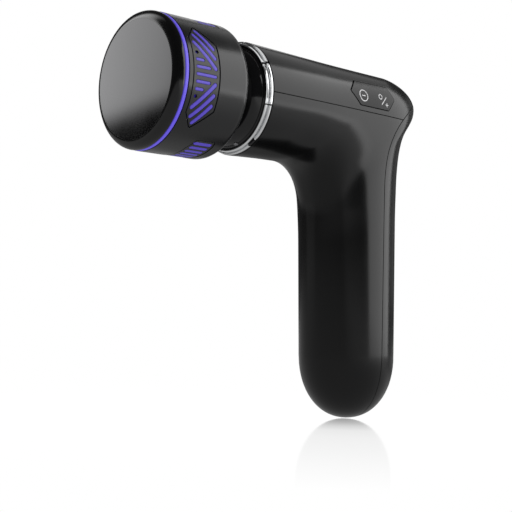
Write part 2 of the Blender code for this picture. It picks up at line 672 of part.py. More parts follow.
VENTS = (("side_near", 0.0, side_outline, side_slots), ("side_far", 180.0, side_outline, side_slots),
         ("top", 90.0, top_outline, top_slots), ("bottom", -90.0, top_outline, top_slots))
for name, deg, shape, slots in VENTS:
    hole = make("cut_window_" + name, window(shape(), deg, 24.0, 34.0), None, cutter=True)
    cut(housing, hole, 'DIFFERENCE', 'MANIFOLD')
    inner = make("cut_grille_" + name, window(shape(), deg, 24.0, 34.0, -0.35), None, cutter=True)
    bm = ring(1.7, 29.9, 28.7, 29.9, 40)
    grille = make("vent_grille_" + name, bm, "vent_black", smooth=40)
    cut(grille, inner, 'INTERSECT')
    blocks = merge(*[slot_block(*s[:4], deg, s[4], 27.5, 31.5) for s in slots()])
    cut(grille, make("cut_slots_" + name, blocks, None, cutter=True))
    lens = make("vent_lens_" + name, ring(1.8, 29.8, 27.1, 28.4, 40), "light_purple", smooth=40)
    cut(lens, inner, 'INTERSECT')

make("cooling_plate", box(-0.8, 1.6, -15, 15, -15, 15), "ceramic")


def fin_outline():
    """Base plate with nine upright fins, seen along z."""
    pts = [(2.0, 18.0), (2.0, -18.0)]
    for k in range(9):
        y = -18.0 + 4.35 * k
        pts += [(15.6, y), (15.6, y + 1.2)]
        if k < 8:
            pts += [(4.6, y + 1.2), (4.6, y + 4.35)]
    pts.append((15.6, 18.0))
    clean = []
    for p in pts:
        if not clean or math.dist(clean[-1], p) > 1e-6:
            clean.append(p)
    return clean


make("heat_sink", prism(fin_outline(), -18.0, 18.0, 'Z'), "alloy")

frame = make("fan_frame", ring(17.6, 27.0, 22.6, 26.0, 32), "vent_black", smooth=40)
spider = []
hub_union = make("cut_fan_hub", rod(25.6, 27.0, 8.0, 18), None, cutter=True)
for k in range(3):
    arm = box(25.6, 27.0, -1.5, 1.5, 7.0, 24.0)
    bmesh.ops.rotate(arm, verts=arm.verts, cent=(0, 0, 0),
                     matrix=Matrix.Rotation(2 * math.pi * k / 3, 3, 'X'))
    spider.append(arm)
arms = make("cut_fan_arms", merge(*spider), None, cutter=True)
cut(frame, arms, 'UNION')
cut(frame, hub_union, 'UNION')

impeller = make("fan_impeller", lathe([(18.4, 0), (18.4, 7.2), (19.2, 8.0), (25.0, 8.0), (25.0, 0)], 24), "vent_black",
                smooth=40)
blades = []
for k in range(7):
    blade = box(-0.45, 0.45, -2.9, 2.9, 7.0, 21.6)
    bmesh.ops.rotate(blade, verts=blade.verts, cent=(0, 0, 0), matrix=Matrix.Rotation(math.radians(52), 3, 'Z'))
    bmesh.ops.rotate(blade, verts=blade.verts, cent=(0, 0, 0), matrix=Matrix.Rotation(2 * math.pi * (k + 0.13) / 7, 3, 'X'))
    bmesh.ops.translate(blade, verts=blade.verts, vec=(21.8, 0, 0))
    blades.append(blade)
cut(impeller, make("cut_fan_blades", merge(*blades), None, cutter=True), 'UNION')

make("head_board", ring(28.9, 30.0, 10.0, 24.0, 24), "board_green", smooth=40)
make("head_stem", lathe([(31.2, 0), (31.2, 14.0), (33.9, 14.0), (33.9, 9.3), (40.8, 9.3), (40.8, 6.5), (45.8, 6.5),
                         (45.8, 5.2), (48.0, 5.2), (48.0, 6.5), (51.8, 6.5), (51.8, 5.2), (54.0, 5.2), (54.0, 6.5),
                         (57.4, 6.5), (58.4, 5.6), (58.4, 0)], 18), "gloss_black", smooth=40)
make("stem_o_ring_1", ring(46.1, 47.7, 5.5, 6.75, 16), "rubber_black", smooth=40)
make("stem_o_ring_2", ring(52.1, 53.7, 5.5, 6.75, 16), "rubber_black", smooth=40)
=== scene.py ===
"""Looks for the massage gun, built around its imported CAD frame.

All the shape code works in construction millimetres: x runs rearward along the
barrel axis with 0 at the light ring, -y is the button side, z runs up from the
barrel axis.  row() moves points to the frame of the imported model, in metres.
"""
import json
import math

import bpy
import numpy as np
from mathutils import Matrix, Vector

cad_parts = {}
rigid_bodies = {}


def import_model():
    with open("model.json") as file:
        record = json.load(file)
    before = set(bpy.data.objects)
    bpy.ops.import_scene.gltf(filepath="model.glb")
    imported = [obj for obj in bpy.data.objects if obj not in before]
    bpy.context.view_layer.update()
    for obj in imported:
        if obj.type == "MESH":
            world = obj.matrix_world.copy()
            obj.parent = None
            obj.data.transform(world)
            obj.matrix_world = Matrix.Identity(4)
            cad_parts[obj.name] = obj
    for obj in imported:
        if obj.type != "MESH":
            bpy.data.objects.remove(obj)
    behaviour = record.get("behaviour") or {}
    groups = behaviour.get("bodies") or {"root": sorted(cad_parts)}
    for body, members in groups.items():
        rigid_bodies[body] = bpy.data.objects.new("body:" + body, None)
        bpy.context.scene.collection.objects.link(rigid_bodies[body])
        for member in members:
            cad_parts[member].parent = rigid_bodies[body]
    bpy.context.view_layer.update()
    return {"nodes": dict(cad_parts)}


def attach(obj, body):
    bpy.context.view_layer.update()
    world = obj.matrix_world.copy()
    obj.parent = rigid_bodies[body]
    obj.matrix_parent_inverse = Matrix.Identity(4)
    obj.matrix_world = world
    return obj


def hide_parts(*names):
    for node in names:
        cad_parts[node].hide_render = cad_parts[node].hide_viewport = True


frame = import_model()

# ---------------------------------------------------------------- dimensions (mm)
TOP_FRONT, TOP_REAR, TOP_LEAD = (51.0, 25.8), (138.4, 23.2), 7.5
NOSE, NOSE_UP, NOSE_DOWN = (161.1, 11.1), 7.0, 9.0
BACK_TOP, BACK_LEAD, BACK_END = (150.2, -33.0), 41.4, (151.5, -114.0)
UNDER_FRONT, UNDER_REAR, UNDER_LEAD = (51.0, -26.0), (79.3, -25.1), 17.7
FRONT_TOP, FRONT_LEAD, FRONT_END = (99.8, -49.9), 10.9, (103.1, -116.8)
HALF_WIDTH_BARREL, HALF_WIDTH_GRIP = 26.0, 22.3
CAP_HEIGHT, CAP_POWER = 31.0, 2.15
FULL_AT, FULL_SPAN, FULL_EXTRA = 1.35, 0.85, 0.5
SHELL_FRONT, HALF_GAP = 51.3, 0.125
SEAM_LOW, SEAM_HANDLE = (129.5, -152.0), (128.1, -34.0)
SEAM_KNEE_A, SEAM_KNEE_B, SEAM_TOP = (128.4, -8.0), (137.0, 0.5), (161.5, 14.2)
PAD = [(101.7, 8.8), (107.9, 2.4), (128.6, 2.4), (133.8, 8.8), (129.6, 14.8), (106.9, 14.8)]
PAD_GAP, PAD_LIFT = 0.24, 0.22   # slit round the pad, and how far its face stands proud
HEAD_R = 30.0
PLATE_FRONT, PLATE_BACK, PLATE_FLAT_R, PLATE_ROUND = -5.1, -1.1, 25.9, -1.45
RING_HALF, HOUSING_FRONT = 0.8, 1.1
SLOT_HALF, SLANT_HALF, TOP_HALF = 0.7, 0.95, 1.05
SIDE_VENT = [(3.0, -32.0), (3.0, 32.0), (8.3, 46.0), (17.4, 28.0), (17.4, -28.0), (8.3, -46.0)]
TOP_VENT = [(14.8, -22.0), (14.8, 22.0), (16.6, 33.5), (26.8, 34.0), (27.5, 28.0),
            (27.5, -28.0), (26.8, -34.0), (16.6, -33.5)]


# ------------------------------------------------------------------ body surface
def lerp(a, b, t):
    a, b = np.asarray(a, float), np.asarray(b, float)
    return a + (b - a) * np.asarray(t)[..., None]


def bezier(p0, p1, p2, p3, t):
    t = np.asarray(t, float)[..., None]
    m = 1.0 - t
    p0, p1, p2, p3 = (np.asarray(p, float) for p in (p0, p1, p2, p3))
    return p0 * m**3 + 3 * p1 * m * m * t + 3 * p2 * m * t * t + p3 * t**3


def along(a, b, d):
    a, b = np.asarray(a, float), np.asarray(b, float)
    return b + (b - a) / np.linalg.norm(b - a) * d


def outer(s):
    """Barrel top, nose and handle back, as (x, z) at station s."""
    out = lerp(TOP_FRONT, TOP_REAR, s)
    k = s >= 1.0
    out[k] = bezier(TOP_REAR, along(TOP_FRONT, TOP_REAR, TOP_LEAD),
                    (NOSE[0], NOSE[1] + NOSE_UP), NOSE, (s[k] - 1.0) * 2)
    k = s >= 1.5
    out[k] = bezier(NOSE, (NOSE[0], NOSE[1] - NOSE_DOWN),
                    along(BACK_END, BACK_TOP, BACK_LEAD), BACK_TOP, (s[k] - 1.5) * 2)
    k = s >= 2.0
    out[k] = lerp(BACK_TOP, BACK_END, s[k] - 2.0)
    return out


def inner(s):
    """Barrel underside, fillet and handle front, as (x, z) at station s."""
    out = lerp(UNDER_FRONT, UNDER_REAR, s)
    k = s >= 1.0
    out[k] = bezier(UNDER_REAR, along(UNDER_FRONT, UNDER_REAR, UNDER_LEAD),
                    along(FRONT_END, FRONT_TOP, FRONT_LEAD), FRONT_TOP, s[k] - 1.0)
    k = s >= 2.0
    out[k] = lerp(FRONT_TOP, FRONT_END, s[k] - 2.0)
    return out


def moved(curve, s, side, inset):
    e = 1e-3
    d = curve(np.minimum(3.0, s + e)) - curve(s - e)
    n = np.linalg.norm(d, axis=1, keepdims=True)
    return curve(s) + side * np.stack([d[:, 1], -d[:, 0]], 1) / n * inset


def stations(s, inset):
    """Centre, half axis, half width and fullness of the section at station s."""
    sc = np.minimum(s, 3.0)
    o, i = moved(outer, sc, 1, inset), moved(inner, sc, -1, inset)
    k = np.clip(sc / 2.0, 0.0, 1.0)
    w = HALF_WIDTH_BARREL + (HALF_WIDTH_GRIP - HALF_WIDTH_BARREL) * k * k * (3 - 2 * k) - inset
    b = np.clip(1.0 - np.abs(sc - FULL_AT) / FULL_SPAN, 0.0, 1.0)
    p = 2.0 + FULL_EXTRA * b * b * (3 - 2 * b)
    c, e = (o + i) / 2, (o - i) / 2
    a = np.radians(90.0) * np.clip(s - 3.0, 0.0, 1.0)
    ca = np.clip(np.cos(a), 0.0, 1.0) ** (2 / CAP_POWER)
    sa = np.clip(np.sin(a), 0.0, 1.0) ** (2 / CAP_POWER)
    n = np.linalg.norm(e, axis=1, keepdims=True)
    down = np.stack([e[:, 1], -e[:, 0]], 1) / n
    c = c + down * ((CAP_HEIGHT - inset) * sa)[:, None]
    return c, e * ca[:, None], w * ca, p


def body_pos(s, phi, inset=0.0):
    c, e, w, p = stations(np.asarray(s, float), inset)
    co, si = np.cos(phi), np.sin(phi)
    C = np.sign(co) * np.abs(co) ** (2 / p)
    Q = np.sign(si) * np.abs(si) ** (2 / p)
    return np.stack([c[:, 0] + e[:, 0] * C, -w * Q, c[:, 1] + e[:, 1] * C], 1)


def side_pos(x, z, inset=0.0, side=-1):
    """Point of the body surface straight above (x, z) on one side of the mid plane."""
    x, z = np.asarray(x, float), np.asarray(z, float)
    s, C = (x - 51.0) / 60.0, z / 26.0
    for _ in range(12):
        c, e, w, p = stations(s, inset)
        h = 1e-4
        c2, e2, _, _ = stations(s + h, inset)
        fx, fz = c[:, 0] + e[:, 0] * C - x, c[:, 1] + e[:, 1] * C - z
        ax, az = (c2[:, 0] + e2[:, 0] * C - x - fx) / h, (c2[:, 1] + e2[:, 1] * C - z - fz) / h
        bx, bz = e[:, 0], e[:, 1]
        det = ax * bz - az * bx
        s = np.clip(s - (fx * bz - fz * bx) / det, 0.0, 2.9)
        C = np.clip(C - (ax * fz - az * fx) / det, -0.999, 0.999)
    c, e, w, p = stations(s, inset)
    y = side * w * np.clip(1 - np.abs(C) ** p, 0, 1) ** (1 / p)
    return np.stack([x, y, z], 1)


LOW = stations(np.array([4.0]), 0.0)[0][0, 1]
SHIFT = np.array([(PLATE_FRONT + NOSE[0]) / 2, 0.0, LOW])


def row(P):
    return (np.asarray(P, float) - SHIFT) / 1000.0


# ------------------------------------------------------------ distance functions
def seg_dist(p, a, b):
    d = b - a
    t = np.clip(((p - a) @ d) / (d @ d), 0, 1)
    return np.linalg.norm(p - a - t[:, None] * d, axis=1)


def poly_dist(pts, p):
    """Distance to a closed outline, negative inside."""
    pts = np.asarray(pts, float)
    d = np.full(len(p), 1e9)
    inside = np.zeros(len(p), bool)
    for a, b in zip(pts, np.roll(pts, -1, 0)):
        d = np.minimum(d, seg_dist(p, a, b))
        c = (a[1] > p[:, 1]) != (b[1] > p[:, 1])
        with np.errstate(divide='ignore', invalid='ignore'):
            c &= p[:, 0] < (b[0] - a[0]) * (p[:, 1] - a[1]) / (b[1] - a[1]) + a[0]
        inside ^= c
    return np.where(inside, -d, d)


def grow(pts, d):
    """Outline moved outward by d, along each corner's miter."""
    pts = np.asarray(pts, float)
    x, y = pts[:, 0], pts[:, 1]
    if (x * np.roll(y, -1) - np.roll(x, -1) * y).sum() < 0:
        pts = pts[::-1]
    out = []
    for a, b, c in zip(np.roll(pts, 1, 0), pts, np.roll(pts, -1, 0)):
        n1 = np.array([(b - a)[1], -(b - a)[0]]); n1 /= np.linalg.norm(n1)
        n2 = np.array([(c - b)[1], -(c - b)[0]]); n2 /= np.linalg.norm(n2)
        m = n1 + n2
        m /= np.linalg.norm(m)
        out.append(b + m * d / max(0.3, m @ n1))
    return np.array(out)


def round_poly(pts, radius):
    """Distance function of an outline with rounded corners."""
    small = grow(pts, -radius)
    return lambda p: poly_dist(small, p) - radius


SEAM = np.vstack([[SEAM_LOW], bezier(SEAM_HANDLE, SEAM_KNEE_A, SEAM_KNEE_B, SEAM_TOP,
                                     np.linspace(0, 1, 40))])
SEAM = np.vstack([SEAM, along(SEAM[-2], SEAM[-1], 14.0)[None]])


def seam_side(P):
    """Distance to the rear-cover seam, positive in front of it."""
    p = P[:, [0, 2]]
    best = np.full(len(p), 1e9)
    sign = np.ones(len(p))
    for a, b in zip(SEAM[:-1], SEAM[1:]):
        d = seg_dist(p, a, b)
        cr = (b - a)[0] * (p[:, 1] - a[1]) - (b - a)[1] * (p[:, 0] - a[0])
        k = d < best
        best = np.where(k, d, best)
        sign = np.where(k, np.where(cr > 0, 1.0, -1.0), sign)
    return best * sign


pad_outline = round_poly(PAD, 0.9)
PORT_C, PORT_H, PORT_R = np.array([0.0, -131.5]), np.array([4.9, 2.1]), 2.0


def port_outline(P):
    q = np.abs(P[:, [1, 2]] - PORT_C) - (PORT_H - PORT_R)
    d = np.linalg.norm(np.maximum(q, 0), axis=1) + np.minimum(q.max(1), 0) - PORT_R
    return np.where(P[:, 0] > 138.0, d, 10.0)


# --------------------------------------------------------------- mesh collection
class Solid:
    """Vertices in construction millimetres, faces, and one normal per face corner."""

    def __init__(self):
        self.v, self.f, self.n, self.count = [], [], [], 0

    def add(self, verts, faces, normals):
        self.v.append(np.asarray(verts, float))
        self.f += [tuple(int(i) + self.count for i in f) for f in faces]
        self.n.append(np.asarray(normals, float).reshape(-1, 3))
        self.count += len(verts)
        return self

    def join(self, other):
        verts = np.vstack(other.v)
        self.v.append(verts)
        self.f += [tuple(i + self.count for i in f) for f in other.f]
        self.n += other.n
        self.count += len(verts)
        return self

    def object(self, name, material):
        mesh = bpy.data.meshes.new(name)
        mesh.from_pydata(row(np.vstack(self.v)).tolist(), [], self.f)
        mesh.polygons.foreach_set("use_smooth", np.ones(len(mesh.polygons), bool))
        n = np.vstack(self.n)
        n = n / np.maximum(np.linalg.norm(n, axis=1, keepdims=True), 1e-12)
        mesh.normals_split_custom_set(n.tolist())
        mesh.materials.append(material)
        mesh.update()
        ob = bpy.data.objects.new(name, mesh)
        bpy.context.scene.collection.objects.link(ob)
        return ob


def patch(pos, us, vs, cuts, edge=0.25, thick=1.6, wrap=False, flip=False, pole=False,
          hu=1e-3, hv=1e-3, steps=4, normal_axis=None):
    """A shell cut out of a curved surface.  pos(u, v) is the surface, cuts are distance
    functions that are positive inside the piece.  The rim is rounded with radius edge,
    the wall has the given thickness, and the whole is closed."""
    us, vs = np.asarray(us, float), np.asarray(vs, float)
    nu, nv = len(us), len(vs)
    U, V = (a.ravel().copy() for a in np.meshgrid(us, vs, indexing='ij'))
    P = pos(U, V)
    F = np.array([c(P) - edge for c in cuts]).reshape(len(cuts), -1)
    jn = nv if wrap else nv - 1
    I, J = (a.ravel() for a in np.meshgrid(np.arange(nu - 1), np.arange(jn), indexing='ij'))
    J2 = (J + 1) % nv
    idx = lambda i, j: np.where(pole & (i == nu - 1), (nu - 1) * nv, i * nv + j)
    quads = np.stack([idx(I, J), idx(I + 1, J), idx(I + 1, J2), idx(I, J2)], 1)
    if flip:
        quads = quads[:, ::-1]
    ok = (F[:, quads] > 0)
    keep = ok.all(axis=(0, 2))
    mixed = ~keep & ok.any(axis=2).all(axis=0)
    polys = [list(q) for q in quads[mixed]]
    for k, cut in enumerate(cuts):
        crossing = {}
        for poly in polys:
            for a, b in zip(poly, poly[1:] + poly[:1]):
                if (F[k, a] > 0) != (F[k, b] > 0):
                    crossing[(min(a, b), max(a, b))] = 0
        if crossing:
            E = np.array(list(crossing))
            A, B = E[:, 0], E[:, 1]
            du, dv = U[B] - U[A], V[B] - V[A]
            if wrap:
                dv = (dv + math.pi) % (2 * math.pi) - math.pi
            lo, hi = np.zeros(len(E)), np.ones(len(E))
            pa = F[k, A] > 0
            for _ in range(17):
                mid = (lo + hi) / 2
                g = (cut(pos(U[A] + du * mid, V[A] + dv * mid)) - edge > 0) == pa
                lo, hi = np.where(g, mid, lo), np.where(g, hi, mid)
            t = (lo + hi) / 2
            nU, nV = U[A] + du * t, V[A] + dv * t
            nP = pos(nU, nV)
            nF = np.array([c(nP) - edge for c in cuts]).reshape(len(cuts), -1)
            nF[k] = 1e-9
            for j, e in enumerate(crossing):
                crossing[e] = len(U) + j
            U, V, P, F = np.append(U, nU), np.append(V, nV), np.vstack([P, nP]), np.hstack([F, nF])
        out = []
        for poly in polys:
            new = []
            for a, b in zip(poly, poly[1:] + poly[:1]):
                if F[k, a] > 0:
                    new.append(a)
                if (F[k, a] > 0) != (F[k, b] > 0):
                    new.append(crossing[(min(a, b), max(a, b))])
            clean = [v for i, v in enumerate(new) if v != new[i - 1]]
            if len(clean) >= 3:
                out.append(clean)
        polys = out
    faces = []
    for q in quads[keep].tolist() + polys:
        q = [int(v) for i, v in enumerate(q) if v != q[i - 1]]
        if len(q) >= 3:
            faces.append(q)
    used = np.unique(np.concatenate([np.array(f) for f in faces]))
    remap = np.full(len(U), -1)
    remap[used] = np.arange(len(used))
    faces = [[int(remap[v]) for v in f] for f in faces]
    U, V, P, F = U[used], V[used], P[used], F[:, used]
    u0, u1 = np.clip(U - hu, us[0], us[-1]), np.clip(U + hu, us[0], us[-1])
    N = np.cross(pos(u1, V) - pos(u0, V), pos(U, V + hv) - pos(U, V - hv))
    if flip:
        N = -N
    L = np.linalg.norm(N, axis=1, keepdims=True)
    if normal_axis is not None:
        bad = L[:, 0] < 1e-7
        N[bad] = normal_axis
        L = np.linalg.norm(N, axis=1, keepdims=True)
    N = N / np.maximum(L, 1e-12)
    n = len(P)
    da = np.concatenate([np.array(f) for f in faces])
    db = np.concatenate([np.roll(np.array(f), -1) for f in faces])
    rim = ~np.isin(da * n + db, db * n + da)
    ra, rb = da[rim], db[rim]
    bv = np.unique(ra)
    rank = np.full(n, -1)
    rank[bv] = np.arange(len(bv))
    # direction out of the piece, in the surface, at every rim vertex
    T = np.zeros((len(bv), 3))
    best = np.full(len(bv), 1e9)
    parts = []
    for k, cut in enumerate(cuts):
        active = F[k, bv] < 0.03 * max(edge, 0.1)
        q = P[bv]
        g = np.stack([cut(q + d) - cut(q - d) for d in np.eye(3) * 1e-3], 1)
        g = -(g - (g * N[bv]).sum(1, keepdims=True) * N[bv])
        l = np.linalg.norm(g, axis=1, keepdims=True)
        g = np.where(l > 1e-9, g / np.maximum(l, 1e-12), 0)
        parts.append((active, g))
        T += np.where(active[:, None], g, 0)
    # where no cut is active the rim is the end of the surface itself
    lone = np.linalg.norm(T, axis=1) < 1e-6
    if lone.any():
        D = np.zeros((n, 3))
        np.add.at(D, ra, P[rb] - P[ra])
        np.add.at(D, rb, P[rb] - P[ra])
        t = np.cross(D[bv], N[bv])
        T[lone] = t[lone]
    T /= np.maximum(np.linalg.norm(T, axis=1, keepdims=True), 1e-12)
    miter = np.ones(len(bv))
    for active, g in parts:
        d = (T * g).sum(1)
        miter = np.where(active & (d > 0.2), np.maximum(miter, 1 / np.maximum(d, 0.5)), miter)
    PB, NB, E = P[bv], N[bv], T * miter[:, None] * edge
    rings, ring_n = [], []
    for k in range(1, steps + 1):
        a = math.pi / 2 * k / steps
        rings.append(PB + E * math.sin(a) - NB * edge * (1 - math.cos(a)))
        ring_n.append(NB * math.cos(a) + T * math.sin(a))
    wall = PB + E - NB * thick
    verts = np.vstack([P] + rings + [wall, P - N * thick])
    m = len(bv)
    base = [n + k * m for k in range(steps)]
    wall0, in0 = n + steps * m, n + steps * m + m
    ia, ib = rank[ra], rank[rb]
    out_f = list(faces)
    norms = [N[np.concatenate([np.array(f) for f in faces])]]
    prev_a, prev_b, pn_a, pn_b = ra, rb, N[ra], N[rb]
    for k in range(steps):
        a1, b1 = base[k] + ia, base[k] + ib
        out_f += np.stack([prev_b, prev_a, a1, b1], 1).tolist()
        na, nb = ring_n[k][ia], ring_n[k][ib]
        norms.append(np.stack([pn_b, pn_a, na, nb], 1).reshape(-1, 3))
        prev_a, prev_b, pn_a, pn_b = a1, b1, na, nb
    out_f += np.stack([prev_b, prev_a, wall0 + ia, wall0 + ib], 1).tolist()
    norms.append(np.stack([T[ib], T[ia], T[ia], T[ib]], 1).reshape(-1, 3))
    out_f += np.stack([wall0 + ib, wall0 + ia, in0 + ra, in0 + rb], 1).tolist()
    norms.append(np.stack([-N[rb], -N[ra], -N[ra], -N[rb]], 1).reshape(-1, 3))
    back = [[v + in0 for v in reversed(f)] for f in faces]
    out_f += back
    norms.append(-N[np.concatenate([np.array(f[::-1]) for f in faces])])
    return Solid().add(verts, out_f, np.vstack(norms))


def fillet(profile, radii, k=5):
    """Closed profile with its corners rounded."""
    pts = [np.asarray(p, float) for p in profile]
    out = []
    for i, b in enumerate(pts):
        r = radii[i] if isinstance(radii, (list, tuple)) else radii
        a, c = pts[i - 1], pts[(i + 1) % len(pts)]
        if r <= 0 or b[1] < 1e-9:
            out.append(b)
            continue
        u, v = (a - b) / np.linalg.norm(a - b), (c - b) / np.linalg.norm(c - b)
        ang = math.acos(np.clip(u @ v, -1, 1))
        if ang > math.radians(172):
            out.append(b)
            continue
        t = min(r / math.tan(ang / 2), 0.45 * np.linalg.norm(a - b), 0.45 * np.linalg.norm(c - b))
        r = t * math.tan(ang / 2)
        m = (u + v) / np.linalg.norm(u + v)
        o = b + m * r / math.sin(ang / 2)
        p, q = b + u * t - o, b + v * t - o
        full = math.acos(np.clip((p @ q) / (r * r), -1, 1))
        for j in range(k + 1):
            w = j / k
            d = (math.sin((1 - w) * full) * p + math.sin(w * full) * q) / max(math.sin(full), 1e-9)
            out.append(o + d)
    return [tuple(p) for p in out]


def arc(cx, cr, rx, rr, a0, a1, n):
    a = np.radians(np.linspace(a0, a1, n + 1))
    return [(cx + rx * math.cos(t), cr + rr * math.sin(t)) for t in a]


def lathe(profile, n=160, axis='X', center=(0, 0, 0), sharp=32.0):
    """Solid of revolution of an (axial, radial) profile; smooth except at real corners."""
    pts = [np.asarray(p, float) for p in profile]
    keep = []
    for p in pts:
        if not keep or np.linalg.norm(p - keep[-1]) > 1e-5:
            keep.append(p)
    if np.linalg.norm(keep[0] - keep[-1]) < 1e-5:
        keep.pop()
    pts = np.array(keep)
    x, r = pts[:, 0], pts[:, 1]
    if (x * np.roll(r, -1) - np.roll(x, -1) * r).sum() > 0:
        pts = pts[::-1]
    m = len(pts)
    d = np.roll(pts, -1, 0) - pts
    sn = np.stack([-d[:, 1], d[:, 0]], 1)
    sn /= np.maximum(np.linalg.norm(sn, axis=1, keepdims=True), 1e-12)
    ang = 2 * math.pi * np.arange(n) / n
    ca, sa = np.cos(ang), np.sin(ang)

    def to3(a, rad):
        if axis == 'X':
            return np.stack([np.full(n, a), -rad * ca, rad * sa], 1)
        return np.stack([rad * ca, rad * sa, np.full(n, a)], 1)

    verts, index = [], []
    count = 0
    for a, rad in pts:
        if rad < 1e-9:
            verts.append(np.array([[a, 0, 0]]) if axis == 'X' else np.array([[0, 0, a]]))
            index.append(np.full(n, count)); count += 1
        else:
            verts.append(to3(a, rad))
            index.append(count + np.arange(n)); count += n
    cosl = math.cos(math.radians(sharp))
    faces, norms = [], []
    for i in range(m):
        j = (i + 1) % m
        if pts[i, 1] < 1e-9 and pts[j, 1] < 1e-9:
            continue
        n0 = sn[i] + sn[i - 1] if sn[i] @ sn[i - 1] > cosl else sn[i]
        n1 = sn[i] + sn[j] if sn[i] @ sn[j] > cosl else sn[i]
        n0, n1 = n0 / np.linalg.norm(n0), n1 / np.linalg.norm(n1)
        g0, g1 = to3(n0[0], n0[1]), to3(n1[0], n1[1])
        for k in range(n):
            l = (k + 1) % n
            q = [(index[i][k], g0[k]), (index[j][k], g1[k]), (index[j][l], g1[l]), (index[i][l], g0[l])]
            if axis != 'X':
                q = q[::-1]
            if q[0][0] == q[-1][0]:
                q = q[:-1]
            elif pts[i, 1] < 1e-9 or pts[j, 1] < 1e-9:
                q = [e for t, e in enumerate(q) if e[0] != q[t - 1][0]]
            faces.append([int(e[0]) for e in q])
            norms += [e[1] for e in q]
    return Solid().add(np.vstack(verts) + np.asarray(center, float), faces, norms)


# ----------------------------------------------------------------- head surfaces
def head_angle(P):
    """Degrees round the head: 0 on the button side, 90 on top."""
    return np.degrees(np.arctan2(P[:, 2], -P[:, 1]))


def unrolled(P, center):
    a = (head_angle(P) - center + 180.0) % 360.0 - 180.0
    return np.stack([P[:, 0], np.radians(a) * HEAD_R], 1)


def on_cylinder(radius):
    return lambda x, a: np.stack([x, -radius * np.cos(a), radius * np.sin(a)], 1)


def vent_points(shape):
    return [(x, math.radians(a) * HEAD_R) for x, a in shape]


def side_slots():
    """Five level slots, longest in the middle, and three slanted slots at each end."""
    out = [(5.4, 6.0 * k, 15.0 - 3.2 * abs(k), 6.0 * k, SLOT_HALF) for k in (-2, -1, 0, 1, 2)]
    for s in (-1, 1):
        for xa, da, db in ((5.3, 27.2, 6.6), (6.35, 34.8, 15.4), (8.6, 40.2, 24.0)):
            out.append((xa, da * s, 15.0, db * s, SLANT_HALF))
    return out


def side_dots():
    """The two round holes between the level and the slanted slots."""
    return [(5.45, 18.0 * s, 5.75, 18.0 * s, SLOT_HALF) for s in (-1, 1)]


def top_slots():
    """Ten level slots side by side."""
    return [(17.6, 3.2 + 6.4 * k, 25.2, 3.2 + 6.4 * k, TOP_HALF) for k in (-5, -4, -3, -2, -1, 0, 1, 2, 3, 4)]


def slots_dist(slots, center, extra=0.0):
    segs = [(np.array([a, math.radians(b) * HEAD_R]), np.array([c, math.radians(d) * HEAD_R]), h + extra)
            for a, b, c, d, h in slots]

    def f(P):
        q = unrolled(P, center)
        if not segs:
            return np.full(len(P), 10.0)
        return np.min([seg_dist(q, a, b) - h for a, b, h in segs], axis=0)
    return f


# --------------------------------------------------------------------- materials
def node(tree, kind, **inputs):
    n = tree.nodes.new(kind)
    for key, val in inputs.items():
        if key in n.inputs:
            n.inputs[key].default_value = val
        else:
            setattr(n, key, val)
    return n


